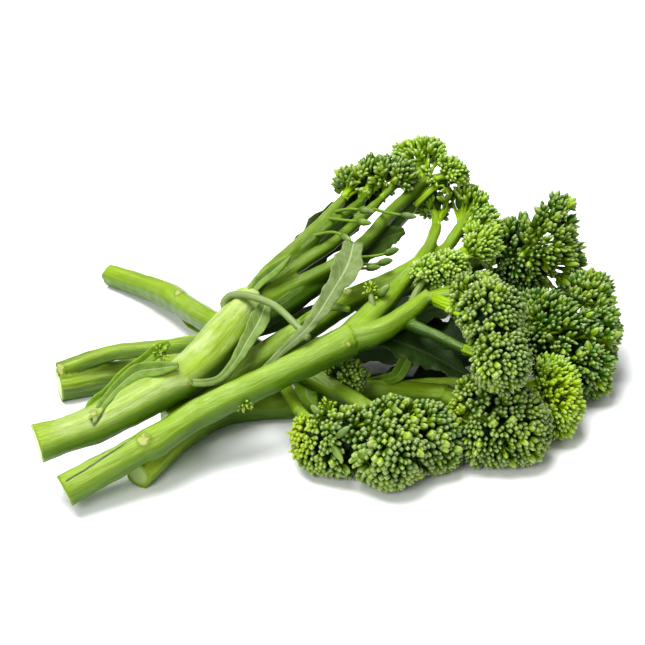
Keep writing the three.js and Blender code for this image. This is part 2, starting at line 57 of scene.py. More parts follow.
# The spears. A limb's path is a list of points [x, y, z, radius]; the first limb is the stalk. A
# limb with florets carries them at its end, each as [x, y, z, radius], in the head that it names,
# and its tone is painted shade, from 0 on a lit limb to 1 on a limb deep in shadow. A leaf's spine
# is a list of points [x, y, z, half width], face is the way that its blade looks, and its tone runs
# from 0 on a grey-green underside over young green to 1 on a dark upper side; the darkest leaves
# are also dark sheets laid where there is only shade, as painted shade. A loose bud is its root,
# bend and tip.
FACE_VIEW = (0, -0.87, 0.5)
FACE_UP = (0, -0.3, 0.95)
SPEARS = [
    {
        "name": "front",
        "limbs": [
            {"path": [[-85, -72, 8, 5.2], [-73, -66, 12, 4.8], [-62, -60, 15.5, 4.8],
              [-59, -58.5, 16.3, 5.2], [-55, -55.5, 17.3, 4.7], [-45, -47, 20, 4.8],
              [-20, -35.5, 27, 4.7], [1, -25.5, 33, 5.4]]},
            {"path": [[1, -25, 33, 4.6], [10, -14, 36.5, 4.3], [18, -4, 40, 3.2], [23, 2, 43, 2.4]],
              "head": "front_small", "florets": [[28, -1, 45, 5.5], [37, 1, 46, 6.8]]},
            {"path": [[1, -25, 33, 4.6], [12, -23, 35.5, 3.9], [22, -16, 38.5, 3.1],
              [28, -10, 41, 2.3]], "head": "front", "florets": [[48, -24, 43, 11.5], [41, -12, 42, 7],
              [47, -7, 43, 5.8]]},
            {"tone_and_shade": 0.85, "path": [[20, -17, 36, 2.2], [30, -24, 35, 1.8], [39, -31, 34, 1.7]],
              "head": "front", "florets": [[50, -40, 34, 10.5]]},
            {"path": [[12, -15, 37.5, 1.5], [10.2, -13, 41, 1.1], [9.9, -9.4, 43.5, 0.8]]},
            {"path": [[22, -16, 38.5, 1.6], [24.5, -9, 41.5, 1.3], [27.5, -4, 44, 1.1]]},
        ],
        "leaves": [
            {"face": FACE_VIEW, "tone_and_shade": 0, "spine": [[-25, -34, 27, 1.5], [-18, -31, 34, 1.4],
              [-13, -30, 38.5, 1.8], [-8.5, -26.5, 42.5, 2.2], [-3, -16, 46.5, 3.2], [2, -4, 49.5, 4.6],
              [4.5, 10, 51, 3]]},
            {"face": FACE_UP, "tone_and_shade": 1, "spine": [[7, -23, 34, 2], [14, -21.5, 32, 5],
              [21, -21.5, 29.5, 7], [28, -23, 27, 6.4], [35, -26, 24.5, 4.6], [42, -30, 22, 1]]},
        ],
        "loose_buds": [
            [[10.2, -13, 40.8], [13, -11, 43], [16, -10, 46]],
        ],
    },
    {
        "name": "thick",
        "limbs": [
            {"path": [[-93.5, -64, 20, 6.2], [-85, -60.5, 21, 5.5], [-75.5, -56, 22.5, 6],
              [-62, -47, 25.5, 6.2], [-48.5, -36, 28, 6.6], [-38.5, -20, 31.5, 6.9],
              [-31.5, -6, 35, 5.9]]},
            {"tone_and_shade": 0.5, "path": [[-34, -10, 34.5, 3.8], [-24, 8, 41, 2.6], [-11, 23, 47, 2.2],
              [0, 38, 52, 1.9]], "head": "top_left", "florets": [[3.5, 50, 53, 6]]},
            {"tone_and_shade": 0.75, "path": [[-30, -4, 35.5, 2.8], [-19, 11, 41, 2], [-6, 25, 47.5, 1.8],
              [7, 38, 52, 1.7]], "head": "top_left", "florets": [[13, 56, 55, 7.6],
              [8, 52, 52.5, 6.5]]},
            {"tone_and_shade": 0.6, "path": [[-32, -8, 35, 3.4], [-18, 9, 39.5, 2.3], [-2, 22, 45, 2],
              [12, 38, 51, 1.8]], "head": "top_left", "florets": [[22, 50, 56, 7]]},
            {"tone_and_shade": 0.65, "path": [[-31, -9, 33.5, 4.2], [-16, 4, 37, 3], [3, 16, 42.5, 2.6],
              [20, 39, 50, 2.3], [29, 52, 53, 2]], "head": "top_right", "florets": [[32, 65, 58, 8],
              [40.5, 52, 57, 6.6], [25, 69, 57, 5.5]]},
            {"tone_and_shade": 0.95, "path": [[-30, -12, 32, 3.8], [-17, 0, 33.5, 3.8], [0, 19, 37.5, 3.6],
              [13.5, 32, 42, 3.2], [24, 44, 46, 2.6]], "head": "top_right",
              "florets": [[36, 54, 51.5, 5.5]]},
            {"path": [[-36, -11, 34, 1.5], [-38.5, -8.5, 38, 1.4], [-36.5, -8, 40.5, 1.3],
              [-32, -10, 42, 1.3], [-27.9, -12.8, 42.5, 1.25], [-21.6, -17.1, 42, 1.25],
              [-15.2, -24.8, 40, 1.2], [-10.5, -30.8, 37.8, 1.2]]},
        ],
        "leaves": [
            {"face": FACE_VIEW, "tone_and_shade": 0.2, "spine": [[-48, -40, 28, 1.5], [-46, -43.5, 29, 1.3],
              [-39.3, -41.1, 28.5, 1.3], [-34.3, -33.3, 30, 1.7], [-30.2, -23.9, 33, 2.5],
              [-26.8, -16.7, 36, 3.2], [-24.9, -10.9, 38.5, 2]]},
            {"face": FACE_VIEW, "tone_and_shade": 0.5, "spine": [[-79, -56, 24.5, 1.6], [-77, -52.5, 27, 1.8],
              [-72.7, -49.7, 29, 2], [-68, -43, 31.5, 2.1], [-63.1, -38.4, 33, 2.1],
              [-58.3, -32.7, 34.5, 1.9], [-55.5, -29.5, 35, 0.9]]},
            {"face": FACE_VIEW, "tone_and_shade": 0.3, "spine": [[-75.5, -57.5, 26, 1.4],
              [-73.5, -55.5, 28.8, 1.5], [-68.7, -47.5, 31, 2], [-63.8, -43.4, 33, 2.5],
              [-57.5, -43.6, 34.3, 2.3], [-51, -42.9, 35, 0.9]]},
            {"face": FACE_VIEW, "tone_and_shade": 0.3, "spine": [[-31, -7, 39, 1.5], [-27, -1, 42, 1.9],
              [-22, 3, 44.5, 2], [-17, 8, 47, 0.8]]},
            {"face": FACE_VIEW, "tone_and_shade": 0.9, "spine": [[-31.5, -6, 35, 2], [-27, 8, 33, 3],
              [-14, 24, 37, 6.5], [-2, 40, 42, 7], [10, 55, 46, 5], [16, 62, 48, 1.5]]},
            {"face": FACE_VIEW, "tone_and_shade": 0.85, "spine": [[0, 18, 38, 1.5], [4.1, 17.4, 40, 3],
              [11.2, 24.2, 42, 3.8], [17.6, 29.7, 43.5, 3.4], [22.5, 31.6, 44.5, 1.2]]},
        ],
        "loose_buds": [
            [[-11.5, 23, 46.5], [-1.1, 17.9, 51], [3.6, 11.2, 51]],
            [[-3, 34, 50.5], [5.2, 27.5, 55], [12, 25.2, 55]],
            [[-5, 31, 49.8], [4.1, 20.3, 54], [10.8, 18.7, 54]],
            [[11, 37, 50.6], [18.9, 25.7, 54], [26.4, 23.4, 54]],
            [[2, 15.3, 42.3], [14.8, 11.3, 46], [20.1, 15, 46]],
            [[1, 14.6, 42], [13.4, 6.7, 45], [17.8, 8.8, 45]],
            [[0, 14, 41.6], [9.9, 3.1, 45], [13.6, 3.8, 45]],
        ],
    },
    {
        "name": "back",
        "limbs": [
            {"path": [[-88, 74, 4.2, 4.1], [-75, 63, 6, 4.3], [-62, 48, 9, 4.8], [-57, 40, 10, 4.5],
              [-42, 17, 13.8, 4.4], [-26, -4, 15.5, 4], [-10, -18, 15.5, 3.9], [-2, -25, 15, 3.4],
              [6, -34, 15, 3]], "head": "near", "florets": [[15, -58, 11.2, 11.4], [28, -45, 12, 9.5],
              [31, -49, 8, 8], [16, -45, 16, 8]]},
            {"path": [[-27, -1, 15, 3], [-19, -24, 16.5, 2.3], [-14, -39, 16, 2]], "head": "near",
              "florets": [[-9, -46, 11, 7], [1, -49, 13, 8.5], [-6, -51, 7.5, 7], [4.5, -51, 9, 7]]},
            {"path": [[-12, -16, 15, 1.8], [-8, -19, 17, 1.5]], "head": "side",
              "florets": [[-1.5, -20, 19, 4.6], [4.5, -23.5, 18.5, 5]]},
        ],
        "leaves": [
            {"face": FACE_UP, "tone_and_shade": 0.6, "spine": [[-14, -15, 15, 2], [-12, -19, 13, 3.5],
              [-11, -24, 11, 3.8], [-8, -28, 9, 1]]},
            {"face": FACE_VIEW, "tone_and_shade": 0.5, "spine": [[-58, 43, 9.5, 1.6], [-54, 36, 6, 2.6],
              [-48, 29, 4, 0.8]]},
        ],
        "loose_buds": [
            [[-4.9, -52.7, 15], [-3, -58.4, 15.5], [0.3, -63.3, 12.5]],
            [[-3, -54.9, 15], [-1.5, -57.7, 18], [2.5, -56.8, 21.5]],
            [[2.5, -61.2, 11], [5, -63.3, 14], [9.8, -63.5, 17.5]],
            [[-4.9, -44.2, 15], [-6.5, -44.5, 17.5], [-9.7, -41, 19]],
            [[9.8, -40, 18], [13.4, -45, 22], [18.7, -53.3, 24]],
        ],
    },
    {
        "name": "streaked",
        "limbs": [
            {"path": [[-96, -7, 5.4, 5.8], [-73, 1, 4.9, 5.1], [-45, 10, 4.6, 4.8], [-7, 15, 6, 4.6],
              [35, 11, 10, 4.2], [62, 7, 15, 3.6]], "head": "right", "florets": [[88, 23, 25, 9],
              [89, 8, 18, 9.3], [76, 6, 21, 10.5], [84, -6, 10.2, 10.2], [75, -5, 14, 8.5],
              [68.5, 12, 24, 8], [67, -3, 18, 8.2], [82, 3, 13, 8.5]]},
            {"path": [[-95, -6, 10.5, 3], [-79, -2, 14.5, 2.8], [-58, -3, 18, 2.7], [-34, -3, 23, 2.7],
              [-3, 13, 24, 2.8], [29, 28, 25, 2.8], [58, 43, 29, 2.8]], "head": "pointed",
              "florets": [[79, 47, 47, 5.5], [75, 42, 41, 7], [62.5, 42, 35.5, 9], [80, 42, 31, 8.5],
              [61.5, 34, 26.5, 10], [82, 39, 20, 8], [72, 38, 27, 8], [73, 34, 34, 7]]},
        ],
        "leaves": [
            {"face": FACE_UP, "tone_and_shade": 1, "spine": [[-7, 15, 6, 2], [2, 9, 9, 3], [14, 4, 13, 8],
              [28, 3, 15, 12], [42, 1, 15.5, 11.5], [56, 2, 16, 2]]},
            {"face": FACE_UP, "tone_and_shade": 1, "spine": [[2, 16, 24.5, 1.5], [12, 14, 22, 4], [26, 14, 22, 7],
              [38, 16, 24, 6.5], [48, 17, 26, 2]]},
            {"face": FACE_UP, "tone_and_shade": 1, "spine": [[44, 35.5, 26.5, 2], [52, 40, 20, 5],
              [60, 38, 14, 8], [66, 30, 10, 9], [69, 18, 8, 7], [70, 6, 6, 2]]},
        ],
    },
    {
        "name": "low",
        "limbs": [
            {"path": [[-64, -59, 4.6, 4.8], [-52, -37, 4.6, 4.8], [-38, -22, 4.6, 4.8],
              [-14, -18, 5, 4.7], [8, -16, 8, 4.2], [33, -27, 14, 3.6]], "head": "low",
              "florets": [[45, -33, 16.5, 9.8], [55, -40, 16, 9.8], [45, -45, 9, 9.3],
              [58, -44, 9, 9.3], [52, -44, 11, 8]]},
            {"path": [[13, -16, 8.5, 3], [37, -15, 10, 2.8], [57, -20, 12, 2.6]], "head": "pale",
              "florets": [[69, -22, 15.5, 10.3], [71, -31, 9, 8.5]]},
        ],
        "leaves": [
            {"face": FACE_VIEW, "tone_and_shade": 0.45, "spine": [[9, -13, 10, 1.2], [14, -16, 13, 1.6],
              [18.5, -20, 17, 2.2], [21, -17.5, 20, 2.4], [23.5, -14.5, 24, 0.8]]},
            {"face": FACE_UP, "tone_and_shade": 1, "spine": [[-16, -18, 4, 2], [0, -15, 3, 8], [15, -15, 3, 12],
              [31, -16, 3, 12.5], [46, -17, 3, 8], [56, -18, 3, 1]]},
        ],
    },
    {
        "name": "middle",
        "limbs": [
            {"path": [[-55, -44, 14.6, 4.4], [-41, -29.5, 18.5, 4.4], [-28, -21, 23.5, 4.4],
              [-14, -13, 29, 4.3], [2, 1, 33, 4], [18, 9, 37, 3.6], [27, 16, 39, 3.3]]},
            {"path": [[26, 15, 39, 2.8], [31, 26, 41, 2.2], [34, 36, 43, 1.9]], "head": "middle",
              "florets": [[33.5, 53, 43, 7.4]]},
            {"path": [[21, 11, 37.5, 2.8], [35, 26, 38, 2.3], [43, 39, 42, 2]], "head": "middle",
              "florets": [[45.5, 51, 45, 8.4], [51, 41, 42, 6.5]]},
            {"path": [[25, 14, 38.5, 2.4], [36, 20, 38, 2]], "head": "middle",
              "florets": [[48, 25, 38.5, 7], [50.5, 32, 39.5, 6.6]]},
        ],
        "leaves": [
            {"face": FACE_UP, "tone_and_shade": 0.4, "spine": [[-15, -12, 30, 1.4], [-10, -14, 36, 1.6],
              [-4, -13, 38.5, 2], [3, -15, 39, 0.8]]},
        ],
    },
]

# Places on the stalks that a leaf or a side shoot was cut or broken from: [x, y, z, size]
SCARS = {
    "front": [[-61, -62, 19.8, 2.9], [2, -30, 35, 1.7]],
    "thick": [[-76.3, -59.1, 27.7, 1.8], [-48.2, -43.8, 29.2, 1.8]],
    "back": [[-58.5, 40.7, 14.3, 2.6]],
    "streaked": [[-95, -8, 12, 3]],
    "low": [[-57, -49, 9, 3]],
    "middle": [[2, 1, 37, 3]],
}

# Grooves in the skin: the points that they run through, on the surface, and their half width
GROOVES = {
    "front": [([[-83.6, -73.7, 12.9], [-78.3, -70.5, 14.8], [-72.5, -66.6, 17], [-66.7, -62.6, 19],
                [-63.3, -60.2, 20.1]], 0.42)],
    "thick": [([[-78.7, -56, 27.9], [-77, -60.3, 27], [-75.8, -62, 24.7], [-74.5, -60.3, 26.3],
                [-72.9, -57.2, 28.3]], 0.5),
              ([[-47.2, -42.9, 29.6], [-43.2, -39.2, 30.4], [-38.3, -32.1, 31], [-35.3, -27.7, 31.5],
                [-33, -20, 33]], 0.6)],
}

# Tufts of tiny young buds: root, tip and number of buds
TUFTS = {
    "front": [([9.9, -9.4, 43], [9.8, -8.6, 46.6], 16), ([10.2, -10, 42], [12.5, -9.5, 45], 10),
              ([-31, -43, 22], [-28, -45.2, 20.8], 24)],
    "thick": [([-58, -34, 33.5], [-54.5, -34, 35.5], 18)],
    "back": [([-13, -46, 11], [-17.5, -47, 10], 22), ([-12, -46, 14.5], [-15.5, -47, 16.5], 22),
             ([-12.5, -50, 8.5], [-16, -52.5, 6.5], 18), ([-4, -42, 17.5], [-6.5, -40, 21.5], 18)],
}

# Places on the heads where the buds are younger and yellow-green: [x, y, z, reach]
YOUNG_SPOTS = [[-15, -48, 12, 11], [37, -39, 14, 9], [60, -18, 27, 9], [72, -30, 18, 10]]

# How a head grows. Lengths in millimetres: gap between buds, gap between sprays of buds, how deep
# a spray's root lies under its buds, length and width of the buds, how far sprays stand out or
# back at random, and how far a spray's rim dips. Others: half angle of the crown of buds on a
# floret (radians), size of the dark ball of painted shade inside it as a share of the floret's
# radius, how far the strands start back from the floret towards their limb's end, and the power by
# which the buds of a floret that is smaller than FULL_FLORET are smaller too.
STYLES = {
    "coarse": dict(gap=2.2, spray=7.0, deep=9.0, length=3.3, width=2.35, uneven=0.4, dip=0.5,
                   crown=2.15, inside=0.6, fan=0.3, finer=0.6),
    "dense": dict(gap=1.8, spray=5.6, deep=7.5, length=3.1, width=1.9, uneven=0.6, dip=0.6,
                  crown=2.1, inside=0.58, fan=0.75, finer=0),
    "fine": dict(gap=1.55, spray=4.6, deep=6.0, length=2.6, width=1.6, uneven=0.5, dip=0.6,
                 crown=2.05, inside=0.55, fan=0.6, finer=0),
    "open": dict(gap=1.95, spray=4.8, deep=7.0, length=3.6, width=1.75, uneven=1.1, dip=1.2,
                 crown=1.95, inside=0.5, fan=0.5, finer=0),
    "fresh": dict(gap=1.75, spray=4.2, deep=6.5, length=3.3, width=1.55, uneven=1.0, dip=1.0,
                  crown=1.65, inside=0.48, fan=0.8, finer=0),
    "long": dict(gap=2.0, spray=4.8, deep=8.0, length=4.4, width=1.8, uneven=1.5, dip=1.4,
                 crown=1.75, inside=0.45, fan=0.85, finer=0),
}
FULL_FLORET = 11.0
# The style and colour of each head, and how its crowns turn away from its stalks' own direction
HEADS = {
    "front_small": ("fine", "bud_fresh", (0.1, -0.1, 0.8)),
    "front": ("dense", "bud_blue", (0.2, -0.5, 0.2)),
    "top_left": ("open", "bud_blue", (0.2, -0.3, 0.6)),
    "top_right": ("fresh", "bud_fresh", (0, 0.1, 0.7)),
    "near": ("coarse", "bud_blue", (0, -0.3, 0.2)),
    "side": ("fine", "bud_deep", (0.2, -0.6, 0.5)),
    "right": ("open", "bud_deep", (0.3, -0.4, 0.3)),
    "pointed": ("long", "bud_deep", (0.5, -0.15, 0.3)),
    "low": ("dense", "bud_blue", (0, -0.4, 0.2)),
    "pale": ("fresh", "bud_pale", (0.3, -0.3, 0.2)),
    "middle": ("fresh", "bud_fresh", (0.2, 0.1, 0.7)),
}

# Geometry that all shapes share. A direction that rises more than STEEP is squared against the
# sideways axis, any other against the upward one.
NEVER_NOUGHT = 1e-12
STEEP = 0.8
SIDEWAYS = np.array([1.0, 0.0, 0.0])
LOBE_COUNT = 4
WAVES, WAVE_SPREAD = 5, (0.6, 1.6)

# The small stalk from a limb's end to a floret: how far ahead it aims as a share of the distance,
# how much that straight way counts for its bend, how deep it sinks as a share of the floret's
# radius, and its widths as shares of the floret's radius and of the limb's end
PEDICEL_AHEAD, PEDICEL_STRAIGHT, PEDICEL_SINK = 0.4, 0.4, 0.6
PEDICEL_WIDTHS = ((0, 0.9), (0.18, 0.5), (0.2, 0.35))

# Limbs with a radius below THIN_LIMB have shells of their own; the rest share one skin.
THIN_LIMB, THIN_SIDES, THIN_LOBE = 1.55, 12, 0.04
THIN_GRAIN, THIN_PAINTED_LIGHT = (1.5, 1.5, 30), (0.0, 0.5, 0.0)
LIMB_RINGS, LIMB_SIDES, EASE_FACTOR = 8, 24, 0.5
SKIN_SAMPLES, KEEPER_SAMPLES, BLOCK = 16, 12, 4000

# A stalk's skin: how far past its first point the cut still reaches (mm) and the share of the
# radius where it ends, numbers of its ribs, share and turn of the finer ones, height and wave
# length of the ripple (mm), shift of the grain from limb to limb (mm), depth of a groove (mm), and
# the scars' fade, the height of their rim (mm) and its place and width as shares of their size
CUT_REACH, CUT_EDGE, RIBS, FINER_RIBS, FINER_SHARE, RIB_TURN = 0.5, 0.93, 5, 9, 0.5, 1.3
SKIN_RIPPLE, SKIN_WAVE, LIMB_SHIFT = 0.25, 7.0, 40
GROOVE_DEPTH, SCAR_FADE, SCAR_RIM, SCAR_RIM_AT, SCAR_RIM_WIDTH = 0.45, 1.5, 0.5, 0.55, 0.3

# A leaf's form. Half widths and lengths are in millimetres, turns in radians along the spine,
# heights as shares of the half width. A blade that is broad has teeth, waves and a flatter fold.
LEAF = dict(sides=20, rings=7, least_half=0.35, broad_from=2.2, broad_over=2, broad_least=0.15,
            toothed_from=1.6, tooth=0.1, tooth_turn=60, lobe=0.08, lobe_turn=23, lobe_start=1,
            ridge=1.2, ridge_width=0.16,
            petiole=1.3, petiole_taper=0.3, fold=0.55, unfold=0.33, wave=0.35, wave_length=6.0,
            frill=0.12, frill_turn=34)

# A bud's radius against its greatest one at shares of its length, and the height of its lobes
BUD_PROFILE = ((0.0, 0.42), (0.15, 0.86), (0.45, 1.0), (0.75, 0.74), (0.93, 0.34))
BUD_SIDES, SEPAL_LOBE = 8, 0.11

# How the points of a crown lie: softness of the outline round the florets (per mm), steps that
# bring a point onto it, share of an even field that round places fill, fewest points on a floret,
# the share of another floret's radius inside which a point goes, the share of the gap inside
# which two points are one, and how far sprays and buds are moved about, as shares of their gap
SOFTNESS, NEWTON_STEPS, CLOSE_PACKED, FEWEST_BUDS = 0.33, 4, 0.866, 8
OUTSIDE_SHARE, CLOSE_SHARE, SPRAY_LOOSE, BUD_LOOSE = 0.68, 0.7, 0.15, 0.14

# Sprays and buds: least and greatest share of the depth, length and width, deepest root as a share
# of the floret's radius, how much a root leans to the limb, reach of a spray as a share of its
# gap, random rise (mm) and stray of a bud, and share, size and rise (mm) of the early buds. The
# growths give a bud's size in the middle of its spray and what it gains outside.
SPRAY_SPREAD, LENGTH_SPREAD, WIDTH_SPREAD = (0.85, 1.15), (0.8, 1.25), (0.75, 1.2)
LENGTH_GROWTH, WIDTH_GROWTH, AGE_GROWTH = (0.8, 0.3), (0.86, 0.18), 0.6
DEEPEST, LEAN, SPRAY_REACH, BUD_RISE, BUD_STRAY = 0.95, 0.25, 0.6, 0.3, 0.09
EARLY_SHARE, EARLY_SIZE, EARLY_RISE = 0.05, 1.5, 0.8

# The stalk of one bud ends in the bud, bends at both ends and swells. The strand of a spray starts
# at the back of its floret, and has its own bends and radii (mm). Their grids are the numbers of
# sides and rings, and the last number darkens both a little as painted shade.
PEDICEL_END, PEDICEL_BEND, PEDICEL_SWELL, PEDICEL_GRID = 0.97, 0.35, 1.15, (5, 3)
STRAND_START, STRAND_SPREAD, STRAND_BENDS, STRAND_RADII = 0.92, 0.2, (0.45, 0.4), (0.85, 0.5)
STRAND_GRID, FORK_SHADING = (6, 7), 0.9

# The dark ball of painted shade inside a floret, and what keeps buds apart from other florets,
# stalks and floor
INSIDE_OUT, INSIDE_CAP, INSIDE_RINGS, INSIDE_SIDES, INSIDE_FLOOR = 0.8, 0.05, 9, 14, 0.2
RIVAL_OVERLAP, STALK_CLEAR, FLOOR_CLEAR = 4.5, 0.4, 0.3

# Loose long buds and tufts of tiny ones. Lengths, widths and radii are in millimetres.
LOOSE_LENGTH, LOOSE_WIDTH, LOOSE_RADII = (5.2, 6.8), (2.3, 3.0), (0.65, 0.5)
LOOSE_BENDS, LOOSE_SINK, LOOSE_HUE, LOOSE_SIDES, LOOSE_RINGS = (0.45, 0.4), 0.3, 0.1, 8, 9
TUFT_LENGTH, TUFT_WIDTH, TUFT_RADIUS, TUFT_ARRIVE = (1.3, 1.8), (0.8, 1.1), 0.22, 0.3
TUFT_REACH, TUFT_STRAY, TUFT_BACK, TUFT_SIDES, TUFT_RINGS = (0.75, 1.05), 0.15, 0.3, 5, 4

# The looks of each stalk: its slot and colour, the share of waxy film on it, which is partly
# painted highlight, how strong its streaks are, and how much paler it is towards its cut end, which
# is partly its own colour and partly painted light
STALK_LOOKS = {
    "front": ("stem_front", "stem_front", 0.1, 0.25, 0.15),
    "middle": ("stem_front", "stem_front", 0.08, 0.25, 0.0),
    "thick": ("stem_thick", "stem_thick", 0.5, 0.25, 0.0),
    "back": ("stem_deep", "stem_back", 0.1, 0.2, 0.1),
    "streaked": ("stem_deep", "stem_deep", 0.06, 0.9, 0.25),
    "low": ("stem_deep", "stem_deep", 0.05, 0.2, 0.9),
}
# The looks of each kind of bud: the share of yellow-green ones, and how pale the tips are, which
# is partly painted highlight
BUD_LOOKS = {
    "bud_blue": (0.7, 0.88), "bud_fresh": (0.9, 1.1), "bud_deep": (0.6, 0.9), "bud_pale": (1.0, 1.1),
    "bud_loose": (0.5, 0.8), "bud_tuft": (1.0, 0.9),
}

# Fixed colours as red, green and blue: some are laid on, the rest multiply what lies beneath.
# The tints for undersides and for limbs in shadow are painted shade.
TINTS = {
    "cut_end": (0.6, 0.72, 0.07), "broad_streak": (0.56, 0.62, 0.4), "hair": (0.66, 0.74, 0.3),
    "underside": (0.32, 0.48, 0.2), "shaded_limb": (0.18, 0.28, 0.08),
    "scar_rim": (0.14, 0.17, 0.015), "scar": (0.38, 0.42, 0.12), "mottle": (0.72, 0.78, 0.62),
    "young_spot": (0.36, 0.46, 0.01), "loose_bud": (0.11, 0.18, 0.045),
    "loose_stalk": (0.14, 0.23, 0.02), "floor": (0.94, 0.94, 0.95), "daylight": (0.97, 0.98, 1.0),
}
# How much darker or lighter than its own colour a part is; the groove, the bud's foot and the ball
# inside a floret are darker as painted shade
SHADES = {"skin": 1.05, "fine_streak": 0.4, "groove": 0.15, "rind": 0.75, "foot": 0.55,
          "seam": 0.6, "inside": 0.36}
# Scales of the patterns: waves per metre
SCALES = {"fine": 1100, "broad": 260, "hair": 2800, "film": 65.0, "torn": 700.0, "mottle": 350.0,
          "patch": 75.0}
# The noise of each pattern, with its roughness or distortion where that isn't the usual one
NOISES = {"streak": {"Detail": 4.0, "Roughness": 0.6}, "film": {"Detail": 3.0, "Distortion": 0.6},
          "plain": {"Detail": 3.0}, "patch": {"Detail": 2.0}}
# Where marks begin and end: noise and shares from 0 to 1, lengths in metres, and how far up the
# skin faces, from -1 to 1
RANGES = {
    "streak": (0.36, 0.66), "film_broad": (0.36, 0.62), "film_fine": (0.15, 0.6),
    "scar_rim": (0.3, 0.5), "scar": (0.6, 0.85), "pale_and_lit_end": (0.005, 0.05), "film_on_lit_top": (-0.3, 0.8),
    "underside": (-0.4, 0.95), "dull": (0.0, 0.2), "groove": (0.15, 0.8), "rind": (0.5, 0.9),
    "leaf_young": (0.0, 0.5), "leaf_dark_and_shade": (0.5, 1.0), "mottle": (0.4, 0.7),
    "midrib": (0.03, 0.12), "vein": (0.04, 0.2), "edge": (0.93, 1.0), "faint": (0.3, 0.9),
    "patch": (0.45, 0.6), "tip": (0.58, 1.02), "foot": (0.1, 0.5), "seam": (0.0, 0.5),
    "age": (0.0, 0.5),
}
# How strong marks are
STRENGTHS = {"hair": 0.4, "underside": 0.9, "dull": 0.85, "scar_rim": 0.6, "scar": 0.75,
             "vein": 0.4, "edge": 0.6, "seam": 0.4, "young_spot": 0.55}
# How streaks grow with their strength: least and gain of the broad and of the fine ones, and how
# much darker the broad ones are
BROAD_STREAK, FINE_STREAK, STREAK_TINT = (0.25, 1.0), (0.2, 0.3), 0.45
# Straight lines: what a value is multiplied by, and what is added to it
LINES = {"film_rough": (0.35, 0.29), "hue_tip": (0.5, 0.55), "faint": (-0.31, 0.35)}
# How long streaks and film run, finer film's scale against the broad, how much torn noise is laid
# on a scar and what is taken from it, shares of noise and of chance in the patches of young buds,
# the share of a young spot's reach that it fills wholly, and the slant of the side veins and the
# turn of their sine along the spine (radians)
STREAK_RUN, FILM_RUN, FINE_FILM, TORN_SHARE, TORN_LESS = 0.07, 0.35, 9.0, 1.1, 0.55
PATCH_SHARES, SPOT_CORE, VEIN_SLANT, VEIN_TURN = (0.65, 0.35), 0.5, -0.12, 34.0
# Plain values of each finish on its shader
FINISHES = {
    "stalk": {"Specular IOR Level": 0.35, "Subsurface Weight": 0.12,
              "Subsurface Radius": (0.6, 1.0, 0.2), "Subsurface Scale": 0.002},
    "leaf": {"Roughness": 0.55, "Specular IOR Level": 0.2, "Subsurface Weight": 0.1,
             "Subsurface Scale": 0.001},
    "bud": {"Roughness": 0.45, "Specular IOR Level": 0.28},
    "floor": {"Base Color": (*TINTS["floor"], 1), "Roughness": 0.7},
}
# Bumps: strength and height in metres
BUMPS = {"hair": (0.35, 0.0003), "vein": (0.4, 0.0003), "seam": (0.3, 0.0002)}

# The stage in metres: half width of the floor, strength of the daylight, place, width and power
# (watts) of the soft lights and the point they face, and the camera's target, distance, angle
# over the floor, and lens and sensor in millimetres
FLOOR_HALF, DAYLIGHT = 3.0, 0.34
LIGHTS = {"softbox_top": ((-0.22, 0.04, 0.95), 0.7, 13.8),
          "softbox_front": ((-0.4, -0.75, 0.6), 0.45, 4.2)}
LIGHTS_FACE = (0, 0, 0.02)
CAMERA = dict(target=(-0.006, 0.003, 0.024), distance=0.55, rise=np.radians(30), lens=90, sensor=36)


class BunchSizes(bpy.types.PropertyGroup):
    """Sizes of the bunch that a user would change."""

    skin_voxel: FloatProperty(
        name="Skin voxel", description="Width of the cells that the stalks' skin is made from",
        default=0.0007, unit="LENGTH", precision=5)
    skin_ease: IntProperty(
        name="Fork ease", description="How many times the forks between limbs are smoothed",
        default=7, min=0)
    rib_height: FloatProperty(
        name="Rib height", description="Height of the ribs along a stalk, as a share of its radius",
        default=0.035, subtype="FACTOR", min=0, max=0.2)
    leaf_thickness: FloatProperty(
        name="Leaf thickness", description="Thickness of a leaf blade beside its midrib",
        default=0.0006, unit="LENGTH", precision=5)
    bud_scale: FloatProperty(
        name="Bud scale", description="Size of every flower bud against its usual size",
        default=1.0, min=0.5, max=1.5)
    pedicel_radius: FloatProperty(
        name="Pedicel radius", description="Radius of the small stalk that carries one bud",
        default=0.00034, unit="LENGTH", precision=5)


def colour(name, description, default):
    """A colour that a user would change, as red, green and blue."""
    return FloatVectorProperty(
        name=name, description=description, default=default, subtype="COLOR", size=3, min=0, max=1)


